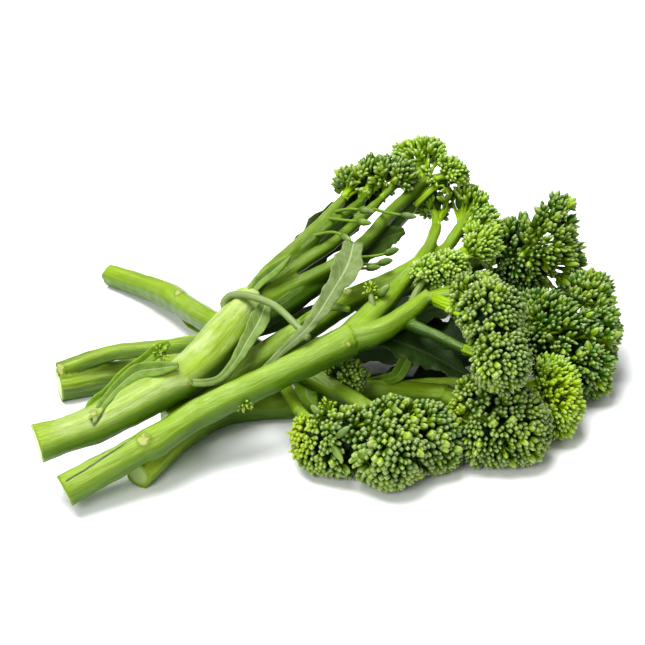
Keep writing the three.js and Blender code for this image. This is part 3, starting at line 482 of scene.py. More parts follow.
class BunchColours(bpy.types.PropertyGroup):
    """Colours of the bunch that a user would change."""

    stem_front: colour("Front stalks", "Green of the front and middle stalks", (0.205, 0.325, 0.002))
    stem_thick: colour("Thick stalk", "Green of the thick pale stalk", (0.265, 0.385, 0.012))
    stem_back: colour("Back stalk", "Green of the stalk that points to the back", (0.2, 0.31, 0.006))
    stem_deep: colour("Lower stalks", "Green of the stalks beneath", (0.24, 0.365, 0.004))
    pith: colour("Pith", "Pale middle of a cut stalk", (0.37, 0.48, 0.16))
    bloom: colour("Bloom", "Waxy film on the stalks", (0.54, 0.59, 0.36))
    # The darkest leaf green: a leaf's dark upper side, and also dark sheets laid where there is only
    # shade, as painted shade
    leaf_dark_and_shade: colour("Leaf upper side", "Green of a leaf's upper side", (0.014, 0.034, 0.002))
    leaf_green: colour("Young leaf", "Green of a young leaf", (0.14, 0.25, 0.008))
    leaf_pale: colour("Leaf underside", "Grey green of a leaf's underside", (0.165, 0.22, 0.08))
    pedicel: colour("Pedicels", "Yellow green of the small stalks", (0.25, 0.39, 0.005))
    # Pale tips of the buds: partly their own waxy colour, partly painted highlight
    bud_tip: colour("Bud tips", "Waxy tips of the buds", (0.42, 0.51, 0.21))
    bud_young: colour("Young belly", "Yellow green of the younger buds", (0.24, 0.36, 0.005))
    bud_blue: colour("Blue-green buds", "Ripe buds with a waxy film", (0.027, 0.09, 0.007))
    bud_fresh: colour("Fresh buds", "Buds between blue and yellow green", (0.14, 0.285, 0.01))
    bud_deep: colour("Deep green buds", "Shaded buds of the right-hand heads", (0.02, 0.11, 0.003))
    bud_pale: colour("Young buds", "Bright yellow-green buds", (0.29, 0.5, 0.008))


# Shapes worked out with arrays. A shape is a dictionary of arrays: verts, quads, tris, and values
# for each vertex. Of those, "around" holds cosine and sine of its angle round the path and its
# share of the path, and "part" holds 1 on a bud, the bud's age, and a share that is random for
# each bud and elsewhere is painted shade, from 0 on the dark ball inside a floret to 1 in full
# light.
def unit(vectors):
    """Vectors of length one: each divided by the root of the sum of its squares."""
    return vectors / np.maximum(np.linalg.norm(vectors, axis=-1, keepdims=True), NEVER_NOUGHT)


def smooth_path(points, per_span):
    """Places, headings and radii along a smooth curve through points (x, y, z, radius).

    Centripetal Catmull-Rom: knots stand apart by the square root of the distance, each point's
    slope comes from its two neighbours, and every span is the cubic with those end slopes.
    """
    points = np.asarray(points, float)
    padded = np.vstack([2 * points[0] - points[1], points, 2 * points[-1] - points[-2]])
    knots = np.sqrt(np.linalg.norm(np.diff(padded[:, :3], axis=0), axis=1))[:, None]
    slopes = ((padded[1:-1] - padded[:-2]) / knots[:-1]
              - (padded[2:] - padded[:-2]) / (knots[:-1] + knots[1:])
              + (padded[2:] - padded[1:-1]) / knots[1:])
    spans = len(points) - 1
    place = np.linspace(0, spans, spans * per_span + 1)
    k = np.minimum(place.astype(int), spans - 1)
    t = (place - k)[:, None]
    a, b = points[k], points[k + 1]
    ma, mb = slopes[k] * knots[k + 1], slopes[k + 1] * knots[k + 1]
    bend, twist = 3 * (b - a) - 2 * ma - mb, 2 * (a - b) + ma + mb
    curve = a + ma * t + bend * t**2 + twist * t**3
    slope = ma + 2 * bend * t + 3 * twist * t**2
    return curve[:, :3], unit(slope[:, :3]), curve[:, 3]


def cross_axes(headings, reference):
    """Two unit directions square to each heading: the reference less its part along it, and theirs."""
    across = unit(reference - np.sum(reference * headings, axis=-1, keepdims=True) * headings)
    return across, np.cross(headings, across)


def shell_faces(count, rings, sides):
    """Quads between neighbouring rings and fans to a pole at each end, for count like shells."""
    ring, side = np.meshgrid(np.arange(rings - 1), np.arange(sides), indexing="ij")
    beside = (side + 1) % sides
    quads = np.stack([ring * sides + side, ring * sides + beside,
                      (ring + 1) * sides + beside, (ring + 1) * sides + side], axis=-1)
    k = np.arange(sides)
    last = (rings - 1) * sides
    start_pole = np.full(sides, rings * sides)
    tris = np.vstack([
        np.stack([start_pole, (k + 1) % sides, k], axis=-1),
        np.stack([start_pole + 1, last + k, last + (k + 1) % sides], axis=-1),
    ])
    offset = (np.arange(count) * (rings * sides + 2))[:, None, None]
    return (quads.reshape(1, -1, 4) + offset).reshape(-1, 4), (tris[None] + offset).reshape(-1, 3)


def tubes(paths, radii, sides, lobes=0.0, bud=0.0, age=0.0, hue_and_shading=1.0, reference=None):
    """Closed round shells along paths (count, rings, 3) with radii (count, rings).

    A ring's point = place + radius x (1 + lobes x cos 4a) x (across x cos a + beside x sin a).
    """
    count, rings = radii.shape
    headings = unit(np.gradient(paths, axis=1))
    if reference is None:
        run = unit(paths[:, -1] - paths[:, 0])
        reference = np.where(np.abs(run[:, 2:]) > STEEP, SIDEWAYS, UP)[:, None]
    across, beside = cross_axes(headings, reference)
    angle = 2 * np.pi * np.arange(sides) / sides
    ring = across[:, :, None] * np.cos(angle)[:, None] + beside[:, :, None] * np.sin(angle)[:, None]
    swell = radii[:, :, None] * (1 + lobes * np.cos(LOBE_COUNT * angle))
    skin = (paths[:, :, None] + swell[..., None] * ring).reshape(count, rings * sides, 3)
    verts = np.concatenate([skin, paths[:, [0, -1]]], axis=1).reshape(-1, 3)
    share = np.repeat(np.linspace(0, 1, rings), sides)
    around = np.stack([np.tile(np.cos(angle), rings), np.tile(np.sin(angle), rings), share], axis=-1)
    around = np.vstack([around, [[0, 0, 0], [0, 0, 1]]])
    part = np.stack(np.broadcast_arrays(bud, age, hue_and_shading, np.zeros(count))[:3], axis=-1)
    quads, tris = shell_faces(count, rings, sides)
    return {
        "verts": verts, "quads": quads, "tris": tris,
        "around": np.tile(around, (count, 1)), "part": np.repeat(part, len(around), axis=0),
    }


def gather(shapes):
    """One shape from several: arrays end to end, with each shape's face numbers moved on."""
    starts = np.cumsum([0] + [len(shape["verts"]) for shape in shapes])
    whole = {}
    for key in shapes[0]:
        moves = starts if key in ("quads", "tris") else np.zeros_like(starts)
        whole[key] = np.concatenate([shape[key] + move for shape, move in zip(shapes, moves)])
    return whole


def bezier(start, leave, arrive, end, rings):
    """Places on the cubic from start to end that leaves and arrives towards its two handles."""
    t = np.linspace(0, 1, rings)[None, :, None]
    return ((1 - t) ** 3 * start[:, None] + 3 * (1 - t) ** 2 * t * leave[:, None]
            + 3 * (1 - t) * t**2 * arrive[:, None] + t**3 * end[:, None])


def spiral(count, axis):
    """Even directions over a sphere: equal steps of height and the golden angle round the axis."""
    k = np.arange(count)
    height = 1 - (2 * k + 1) / count
    level = np.sqrt(1 - height**2)
    axis = unit(np.asarray(axis, float))
    across, beside = cross_axes(axis, SIDEWAYS if abs(axis[2]) > STEEP else UP)
    turn = k * GOLDEN_ANGLE
    return (np.outer(level * np.cos(turn), across) + np.outer(level * np.sin(turn), beside)
            + np.outer(height, axis))


def ripple(places, seed, length):
    """A soft random height between about -1 and 1: a sum of sine waves in random directions."""
    draw = np.random.default_rng(seed)
    directions = unit(draw.normal(size=(WAVES, 3)))
    directions = directions * (2 * np.pi / (length * draw.uniform(*WAVE_SPREAD, (WAVES, 1))))
    return np.sin(places @ directions.T + draw.uniform(0, 2 * np.pi, WAVES)).mean(axis=1)


def new_mesh(name, shape, layers=("around", "part")):
    """A mesh from a shape in millimetres, which keeps the named values as attributes."""
    mesh = bpy.data.meshes.new(name)
    quads, tris = shape["quads"], shape["tris"]
    loops = np.concatenate([quads.ravel(), tris.ravel()]).astype(np.int32)
    starts = np.concatenate([np.arange(len(quads)) * 4, len(quads) * 4 + np.arange(len(tris)) * 3])
    mesh.vertices.add(len(shape["verts"]))
    mesh.vertices.foreach_set("co", (shape["verts"] * MM).astype(np.float32).ravel())
    mesh.loops.add(len(loops))
    mesh.loops.foreach_set("vertex_index", loops)
    mesh.polygons.add(len(starts))
    mesh.polygons.foreach_set("loop_start", starts.astype(np.int32))
    mesh.update(calc_edges=True)
    mesh.validate()
    for key in layers:
        layer = mesh.attributes.new(key, "FLOAT_VECTOR", "POINT")
        layer.data.foreach_set("vector", shape[key].astype(np.float32).ravel())
    mesh.shade_smooth()
    return mesh


def new_piece(mesh, material, nodes=()):
    """An object for the mesh that rides on the one body and stands for the named CAD nodes."""
    piece = bpy.data.objects.new(mesh.name, mesh)
    bpy.context.scene.collection.objects.link(piece)
    mesh.materials.append(material)
    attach(piece, "root")
    if nodes:
        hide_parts(*nodes)


# Stalks
def pedicel_points(path, floret):
    """Points (x, y, z, radius) of the stalk from a limb's end to the back of a floret, and its way.

    It leaves the limb straight on, bends at a point between straight ahead and half way, and is
    as thick as the greater of a share of the floret's radius and a share of the limb's end.
    """
    end, before = np.array(path[-1][:3], float), np.array(path[-2][:3], float)
    centre, radius = np.array(floret[:3], float), floret[3]
    heading = unit(end - before)
    ahead = end + heading * np.linalg.norm(centre - end) * PEDICEL_AHEAD
    middle = PEDICEL_STRAIGHT * ahead + (1 - PEDICEL_STRAIGHT) * (end + centre) / 2
    arrival = unit(centre - middle)
    places = [end - heading, middle, centre - arrival * PEDICEL_SINK * radius]
    widths = [max(of_floret * radius, of_limb * path[-1][3]) for of_floret, of_limb in PEDICEL_WIDTHS]
    return [[*place, width] for place, width in zip(places, widths)], arrival


def limb_samples(limbs, per_span):
    """Samples along all limbs as flat arrays.

    They are places, headings, two directions square to them, radii, lengths and limb numbers.
    """
    columns = []
    for number, limb in enumerate(limbs):
        place, heading, radius = smooth_path(limb, per_span)
        length = np.concatenate([[0], np.cumsum(np.linalg.norm(np.diff(place, axis=0), axis=1))])
        columns.append((place, heading, *cross_axes(heading, UP), radius, length,
                        np.full(len(place), number)))
    return [np.concatenate(column) for column in zip(*columns)]


def groove_mask(verts, grooves):
    """How deep each point lies in a groove: exp of minus the square of distance over half width."""
    mask = np.zeros(len(verts))
    for line, width in grooves:
        line = np.array(line, float)
        for start, end in zip(line[:-1], line[1:]):
            run = end - start
            share = np.clip((verts - start) @ run / (run @ run), 0, 1)
            far = np.linalg.norm(verts - start - share[:, None] * run, axis=1)
            mask = np.maximum(mask, np.exp(-((far / width) ** 2)))
    return mask


def nearest_sample(points, places, radii):
    """For each point the sample that is nearest as a share of the limb's radius there."""
    best = np.empty(len(points), int)
    for start in range(0, len(points), BLOCK):
        block = points[start:start + BLOCK]
        square = np.sum(block**2, axis=1)[:, None] - 2 * block @ places.T + np.sum(places**2, axis=1)
        best[start:start + BLOCK] = np.argmin(square / radii**2, axis=1)
    return best


def skin_round(name, limbs, sizes):
    """One skin round overlapping limbs: their shells voxel-remeshed and the forks eased."""
    shells = []
    for limb in limbs:
        place, _, radius = smooth_path(limb, LIMB_RINGS)
        shells.append(tubes(place[None], radius[None], LIMB_SIDES, reference=UP))
    rough = new_mesh(name, gather(shells), ())
    holder = bpy.data.objects.new(name, rough)
    bpy.context.scene.collection.objects.link(holder)
    remesh = holder.modifiers.new("skin", "REMESH")
    remesh.mode = "VOXEL"
    remesh.voxel_size = sizes.skin_voxel
    ease = holder.modifiers.new("ease", "SMOOTH")
    ease.factor = EASE_FACTOR
    ease.iterations = sizes.skin_ease
    graph = bpy.context.evaluated_depsgraph_get()
    skin = bpy.data.meshes.new_from_object(holder.evaluated_get(graph))
    verts = np.empty(len(skin.vertices) * 3, np.float32)
    skin.vertices.foreach_get("co", verts)
    corners = np.empty(len(skin.loops), np.int32)
    skin.loops.foreach_get("vertex_index", corners)
    bpy.data.objects.remove(holder)
    bpy.data.meshes.remove(rough)
    bpy.data.meshes.remove(skin)
    return verts.reshape(-1, 3).astype(float) / MM, corners.reshape(-1, 4)


def thin_shell(path):
    """A limb too thin for the common skin: a round shell of its own, dull as a leaf's underside."""
    place, _, radius = smooth_path(path, LIMB_RINGS)
    shell = tubes(place[None], radius[None], THIN_SIDES, lobes=THIN_LOBE, reference=UP)
    count = len(shell["verts"])
    return {**shell, "grain": shell["around"] * THIN_GRAIN * MM, "marks": np.zeros((count, 3)),
            "tint": np.tile(THIN_PAINTED_LIGHT, (count, 1))}


def stalk_mesh(spear, sizes):
    """A spear's stalk and branches as one ribbed skin with a cut end, scars and grooves.

    Each point keeps its place along and round the nearest limb. Its distance from the limb's
    middle is at least the limb's radius, plus ribs: radius x rib x (cos 5a + half cos 9a), plus
    a soft ripple and a raised rim round each scar, less the grooves. Points at the stalk's start
    lie in its cut. The mesh keeps "grain" (cosine and sine of the angle times the radius, and
    length), "marks" (1 on the cut, share of the radius, scar) and the values for painted light:
    the limb's painted shade, how far the skin faces up, which sets the painted shade beneath and
    the painted highlight on top, and the groove, which sets the painted shade in it.
    """
    name, hard, thin, limb_shades = spear["name"], [], [], []
    for limb in spear["limbs"]:
        path = limb["path"]
        if min(point[3] for point in path) < THIN_LIMB:
            thin.append(thin_shell(path))
            continue
        paths = [path] + [pedicel_points(path, floret)[0] for floret in limb.get("florets", [])]
        hard += paths
        limb_shades += [limb.get("tone_and_shade", 0.0)] * len(paths)
    verts, quads = skin_round("skin_" + name, hard, sizes)
    place, heading, across, beside, radius, length, number = limb_samples(hard, SKIN_SAMPLES)
    near = nearest_sample(verts, place, radius)
    place, heading, own, number = place[near], heading[near], radius[near], number[near]
    offset = verts - place
    along = np.sum(offset * heading, axis=1)
    offset -= along[:, None] * heading
    distance = np.linalg.norm(offset, axis=1)
    outward = unit(offset)
    angle = np.arctan2(np.sum(outward * beside[near], axis=1), np.sum(outward * across[near], axis=1))
    grain = np.stack([np.cos(angle) * own, np.sin(angle) * own,
                      length[near] + along + LIMB_SHIFT * number], axis=1)
    at_cut = (length[near] == 0) & (along < CUT_REACH) & (number == 0)
    side = ~at_cut | (distance > own * CUT_EDGE)
    rib = np.cos(RIBS * angle + number) + FINER_SHARE * np.cos(FINER_RIBS * angle + RIB_TURN)
    target = np.maximum(distance, own) + own * sizes.rib_height * rib
    target += SKIN_RIPPLE * ripple(grain, SEED, SKIN_WAVE)
    moved = place + along[:, None] * heading + outward * target[:, None]
    verts = np.where(side[:, None], moved, verts)
    verts -= np.where(at_cut, along, 0)[:, None] * heading
    scar = np.zeros(len(verts))
    for *spot, size in SCARS[name]:
        far = np.linalg.norm(verts - np.array(spot, float), axis=1) / size
        scar = np.maximum(scar, np.exp(-far**2 * SCAR_FADE))
        rim = SCAR_RIM * np.exp(-((far - SCAR_RIM_AT) / SCAR_RIM_WIDTH) ** 2)
        verts += outward * (rim * side)[:, None]
    groove = groove_mask(verts, GROOVES.get(name, []))
    verts -= outward * (GROOVE_DEPTH * groove * side)[:, None]
    verts[:, 2] = np.maximum(verts[:, 2], 0.0)
    skin = {
        "verts": verts, "quads": quads, "tris": np.empty((0, 3), int), "grain": grain * MM,
        "marks": np.stack([at_cut.astype(float), np.clip(distance / own, 0, 1), scar], axis=1),
        "tint": np.stack([np.array(limb_shades)[number], outward[:, 2], groove], axis=1),
    }
    return new_mesh("stalk_" + name, gather([skin, *thin]), ("grain", "marks", "tint"))


# Leaves
def leaf_shape(spine, face, tone_and_shade, sizes):
    """A thin folded blade along its spine, with waved and toothed edges and a ridge beneath.

    Across the blade u runs from -1 to 1: place + u x half width x across, raised by fold x |u|
    and by waves near the edge; the two faces stand apart by the thickness, which ends at the
    edge as a half round and is greater along the midrib and in a narrow petiole. Its "around"
    holds u, the share of the spine and the side of the blade, its "part" the half width and tone,
    whose dark end is partly painted shade.
    """
    form = LEAF
    place, heading, half = smooth_path(spine, form["rings"])
    half = np.maximum(half, form["least_half"])
    across = unit(np.cross(heading, np.asarray(face, float)))
    normal = np.cross(across, heading)
    sides, rings = form["sides"], len(place)
    angle = 2 * np.pi * np.arange(sides) / sides
    u, level = np.cos(angle), np.sin(angle)
    out = np.abs(u)[None]
    share = np.linspace(0, 1, rings)
    wave = ripple(place, SEED + rings, form["wave_length"])
    broad = np.clip((half.max() - form["broad_from"]) / form["broad_over"], form["broad_least"], 1)
    teeth = (form["tooth"] * np.sin(share * form["tooth_turn"])
             + form["lobe"] * np.sin(share * form["lobe_turn"] + form["lobe_start"]))
    wide = (half * (1 + broad * (half > form["toothed_from"]) * teeth))[:, None]
    ridge = form["ridge"] * np.exp(-(u / form["ridge_width"]) ** 2) * (level < 0)
    thick = np.maximum((sizes.leaf_thickness / MM * (0.5 + ridge))[None],
                       (form["petiole"] - form["petiole_taper"] * half)[:, None])
    rise = (form["fold"] - form["unfold"] * broad) * out * wide
    rise = rise + (form["wave"] * broad * wave * half)[:, None] * u[None] ** 2 * np.sign(u)[None]
    rise = rise + form["frill"] * broad * wide * np.sin(share[:, None] * form["frill_turn"]) * out**3
    skin = (place[:, None] + (u[None] * wide)[..., None] * across[:, None]
            + (rise + level[None] * thick)[..., None] * normal[:, None])
    quads, tris = shell_faces(1, rings, sides)
    blade = np.stack([np.tile(u, rings), np.repeat(share, sides), np.tile(np.sign(level), rings)],
                     axis=1)
    size = np.stack([np.repeat(half, sides), np.full(rings * sides, tone_and_shade), np.zeros(rings * sides)],
                    axis=1)
    return {"verts": np.vstack([skin.reshape(-1, 3), place[[0, -1]]]), "quads": quads, "tris": tris,
            "around": np.vstack([blade, [[0, 0, 0], [0, 1, 0]]]),
            "part": np.vstack([size, size[[0, -1]]])}


# Flower buds
def bud_shells(tips, directions, lengths, widths, age, hue):
    """Ovoid buds with four sepals: radius over the length is a fixed full profile, lobed by cos 4a."""
    level, full = np.array(BUD_PROFILE).T
    roots = tips - directions * lengths[:, None]
    paths = roots[:, None] + (directions * lengths[:, None])[:, None] * level[None, :, None]
    radii = widths[:, None] / 2 * full[None]
    shells = tubes(paths, radii, BUD_SIDES, lobes=SEPAL_LOBE, bud=1.0, age=age, hue_and_shading=hue)
    each = len(level) * BUD_SIDES + 2
    poles = np.arange(len(tips)) * each + each - 1
    shells["verts"][poles] = tips
    share = np.concatenate([np.repeat(level, BUD_SIDES), [0, 1]])
    shells["around"][:, 2] = np.tile(share, len(tips))
    return shells


def fork_shells(start, leave, arrive, end, wide, narrow, sides, rings):
    """Tapering round shells on cubics from start to end, kept above the floor."""
    paths = bezier(start, leave, arrive, end, rings)
    paths[..., 2] = np.maximum(paths[..., 2], narrow)
    radii = np.broadcast_to(np.linspace(wide, narrow, rings), paths.shape[:2])
    # The forks carry a little painted shade
    return tubes(paths, radii, sides, hue_and_shading=FORK_SHADING)


def shade_ball_shell(floret, axis, share):
    """Painted shade inside a floret: a dark ball of that share of its radius, pushed out to its buds.
    """
    centre, radius = np.array(floret[:3], float), floret[3]
    ball = share * radius
    middle = centre + axis * (INSIDE_OUT * radius - ball) / 2
    level = -np.cos(np.linspace(INSIDE_CAP * np.pi, (1 - INSIDE_CAP) * np.pi, INSIDE_RINGS))
    line = middle + axis * ball * level[:, None]
    shape = tubes(line[None], (ball * np.sqrt(1 - level**2))[None], INSIDE_SIDES, hue_and_shading=0.0)
    shape["verts"][:, 2] = np.maximum(shape["verts"][:, 2], INSIDE_FLOOR)
    return shape


def on_envelope(points, centres, radii):
    """Points moved onto the soft outline of spheres, and their outward directions there.

    The outline is where the soft least distance is nought: minus the logarithm of the sum of
    exp(-softness x (distance - radius)), over softness. A few Newton steps reach it.
    """
    for _ in range(NEWTON_STEPS):
        apart = points[:, None] - centres
        far = np.linalg.norm(apart, axis=2)
        level = SOFTNESS * (far - radii)
        floor = level.min(axis=1, keepdims=True)
        weight = np.exp(floor - level)
        least = (floor[:, 0] - np.log(weight.sum(axis=1))) / SOFTNESS
        slope = np.einsum("ij,ijk->ik", weight / weight.sum(axis=1, keepdims=True),
                          apart / far[..., None])
        points = points - (least / np.sum(slope**2, axis=1))[:, None] * slope
    return points, unit(slope)


def crown_places(florets, gap, style, loose, draw):
    """Places, outward directions, floret numbers and gap shares of points that cover a head evenly.

    Each floret's sphere bears an even spiral of points over its crown, moved about by the share
    loose of their gap, which on a small floret is less: times (radius / full) to the power finer.
    Those inside another floret go, the rest move onto the soft outline of all the florets, and
    of two that come close together the later one goes.
    """
    centres = np.array([floret[:3] for floret, *_ in florets], float)
    radii = np.array([floret[3] for floret, *_ in florets], float)
    shares = np.minimum(radii / FULL_FLORET, 1) ** style["finer"]
    places, owners = [], []
    for number, (floret, _, aim, _) in enumerate(florets):
        own_gap = gap * shares[number]
        count = int(round(4 * np.pi * floret[3] ** 2 / (own_gap**2 * CLOSE_PACKED)))
        ways = spiral(max(count, FEWEST_BUDS), aim)
        ways = ways[ways @ aim > np.cos(style["crown"])]
        ways = unit(ways + draw.normal(size=ways.shape) * loose * own_gap / floret[3])
        places.append(centres[number] + ways * floret[3])
        owners.append(np.full(len(ways), number))
    places, owners = np.concatenate(places), np.concatenate(owners)
    far = np.linalg.norm(places[:, None] - centres, axis=2) / radii
    outside = np.all((far > OUTSIDE_SHARE) | (np.arange(len(radii)) == owners[:, None]), axis=1)
    places, normals = on_envelope(places[outside], centres, radii)
    owners = owners[outside]
    close = (np.linalg.norm(places[:, None] - places, axis=2)
             < CLOSE_SHARE * gap * shares[owners][:, None])
    alone = ~np.any(np.tril(close, -1), axis=1)
    return places[alone], normals[alone], owners[alone], shares[owners[alone]]


def head_shape(florets, style, sizes, draw, keep):
    """The forks, pedicels and buds of a head, and the dark ball of painted shade inside each floret.

    Buds cover the crown evenly, and each belongs to the nearest spray. A spray's rim dips by the
    square of the distance from its middle, its buds fan out from its root, and they grow from
    small in the middle to large outside. A few buds are early ones, larger and standing out.
    """
    sprays, spray_normals, owners, _ = crown_places(florets, style["spray"], style, SPRAY_LOOSE, draw)
    places, normals, _, finer = crown_places(florets, style["gap"], style, BUD_LOOSE, draw)
    lean = np.array([axis for _, axis, *_ in florets])[owners]
    ends = np.array([path[-1][:3] for *_, path in florets], float)[owners]
    radius = np.array([floret[3] for floret, *_ in florets], float)[owners][:, None]
    middle = np.array([floret[:3] for floret, *_ in florets], float)[owners]
    deep = np.minimum(style["deep"] * draw.uniform(*SPRAY_SPREAD, (len(sprays), 1)),
                      DEEPEST * radius)
    roots = sprays - ((1 - LEAN) * spray_normals + LEAN * lean) * deep
    rise = draw.uniform(-1, 1, len(sprays)) * style["uneven"]

    apart = np.linalg.norm(places[:, None] - sprays, axis=2)
    own = np.argmin(apart, axis=1)
    count = len(places)
    share = np.clip(apart[np.arange(count), own] / (SPRAY_REACH * style["spray"]), 0, 1)
    early = draw.uniform(size=count) < EARLY_SHARE
    grown = sizes.bud_scale * finer * np.where(early, EARLY_SIZE, 1.0)
    long, wide = [least + gain * share for least, gain in (LENGTH_GROWTH, WIDTH_GROWTH)]
    lengths = grown * style["length"] * long * draw.uniform(*LENGTH_SPREAD, count)
    widths = grown * style["width"] * wide * draw.uniform(*WIDTH_SPREAD, count)
    height = (rise[own] - style["dip"] * share**2 + draw.uniform(-BUD_RISE, BUD_RISE, count)
              + EARLY_RISE * early)
    tips = places + height[:, None] * normals
    facing = unit(tips - roots[own] + draw.normal(size=tips.shape) * BUD_STRAY * style["deep"])
    tips[:, 2] = np.maximum(tips[:, 2], 0.5 * widths)
    kept = keep(tips - facing * 0.5 * lengths[:, None], widths)
    age = AGE_GROWTH * share + (1 - AGE_GROWTH) * draw.uniform(size=count)
    age = np.where(early, 0.0, age)
    hue = draw.uniform(size=count)
    own, tips, facing = own[kept], tips[kept], facing[kept]
    lengths, widths = lengths[kept], widths[kept]
    shapes = [bud_shells(tips, facing, lengths, widths, age[kept], hue[kept])]

    thin = sizes.pedicel_radius / MM
    start, end = roots[own], tips - facing * (lengths * PEDICEL_END)[:, None]
    handle = np.linalg.norm(end - start, axis=1, keepdims=True) * PEDICEL_BEND
    shapes.append(fork_shells(start, start + spray_normals[own] * handle, end - facing * handle,
                              end, thin, thin * PEDICEL_SWELL, *PEDICEL_GRID))
    used = np.unique(own)
    start = middle - lean * STRAND_START * radius
    start = (start + style["fan"] * (ends - start) + STRAND_SPREAD * (roots - middle))[used]
    end = roots[used]
    gap = np.linalg.norm(end - start, axis=1, keepdims=True)
    leave, arrive = STRAND_BENDS
    shapes.append(fork_shells(start, start + lean[used] * gap * leave,
                              end - spray_normals[used] * gap * arrive, end,
                              *STRAND_RADII, *STRAND_GRID))
    shapes += [shade_ball_shell(floret, aim, style["inside"]) for floret, _, aim, _ in florets]
    return gather(shapes)


def bud_keeper(head, florets, places, radii):
    """A test for bud middles: outside other heads' florets, and clear of stalks and floor."""
    own = np.array([floret for name, floret, *_ in florets if name == head], float)
    rivals = np.array([floret for name, floret, *_ in florets if name != head], float)

    def keep(points, widths):
        far = np.linalg.norm(points[:, None] - rivals[:, :3], axis=2)
        power = np.min(np.sum((points[:, None] - own[:, :3]) ** 2, axis=2) - own[:, 3] ** 2, axis=1)
        nearer = far**2 - rivals[:, 3] ** 2 > power[:, None]
        clear = np.all((far > rivals[:, 3]) | nearer & (far > rivals[:, 3] - RIVAL_OVERLAP), axis=1)
        square = (np.sum(points**2, axis=1)[:, None] - 2 * points @ places.T
                  + np.sum(places**2, axis=1))
        off_stalks = np.all(square > (radii + STALK_CLEAR * widths[:, None]) ** 2, axis=1)
        return clear & off_stalks & (points[:, 2] > FLOOR_CLEAR * widths)

    return keep


def head_mesh(head, sizes):
    """A head's mesh, with draws seeded by the head's place in the list."""
    limbs = [limb for spear in SPEARS for limb in spear["limbs"]]
    florets = [(limb["head"], floret, pedicel_points(limb["path"], floret)[1], limb["path"])
               for limb in limbs for floret in limb.get("florets", [])]
    places, _, _, _, radii, *_ = limb_samples([limb["path"] for limb in limbs], KEEPER_SAMPLES)
    style, _, turn = HEADS[head]
    own = [(floret, axis, unit(axis + turn), path) for name, floret, axis, path in florets
           if name == head]
    draw = np.random.default_rng(SEED + list(HEADS).index(head))
    keep = bud_keeper(head, florets, places, radii)
    return new_mesh("florets_" + head, head_shape(own, STYLES[style], sizes, draw, keep))


def loose_bud_shapes(points, draw):
    """Long buds, each on a thin bent pedicel that ends where the bud begins."""
    start, bend, tip = np.array(points, float).transpose(1, 0, 2)
    count = len(start)
    facing = unit(tip - bend)
    lengths = draw.uniform(*LOOSE_LENGTH, count)
    root = tip - facing * lengths[:, None]
    gap = np.linalg.norm(root - start, axis=1, keepdims=True)
    leave, arrive = LOOSE_BENDS
    paths = bezier(start, start + unit(bend - start) * gap * leave, root - facing * gap * arrive,
                   root + facing * LOOSE_SINK, LOOSE_RINGS)
    radii = np.broadcast_to(np.linspace(*LOOSE_RADII, LOOSE_RINGS), paths.shape[:2])
    return [tubes(paths, radii, LOOSE_SIDES),
            bud_shells(tip, facing, lengths, draw.uniform(*LOOSE_WIDTH, count),
                       draw.uniform(size=count), np.full(count, LOOSE_HUE))]


def tuft_shapes(root, tip, count, draw):
    """A tuft of tiny buds: directions on a spiral round its axis, each bud on a short pedicel."""
    root, tip = np.array(root, float), np.array(tip, float)
    reach, axis = np.linalg.norm(tip - root), unit(tip - root)
    facing = spiral(count * 2, axis)[:count]
    facing = unit(facing + draw.normal(size=facing.shape) * TUFT_STRAY)
    tips = root + facing * reach * draw.uniform(*TUFT_REACH, (count, 1))
    lengths = draw.uniform(*TUFT_LENGTH, count)
    start = np.repeat(root[None] - axis[None] * TUFT_BACK * reach, count, axis=0)
    end = tips - facing * lengths[:, None]
    paths = bezier(start, (start + end) / 2, end - facing * TUFT_ARRIVE, end, TUFT_RINGS)
    return [tubes(paths, np.full(paths.shape[:2], TUFT_RADIUS), TUFT_SIDES),
            bud_shells(tips, facing, lengths, draw.uniform(*TUFT_WIDTH, count),
                       draw.uniform(size=count), np.ones(count))]


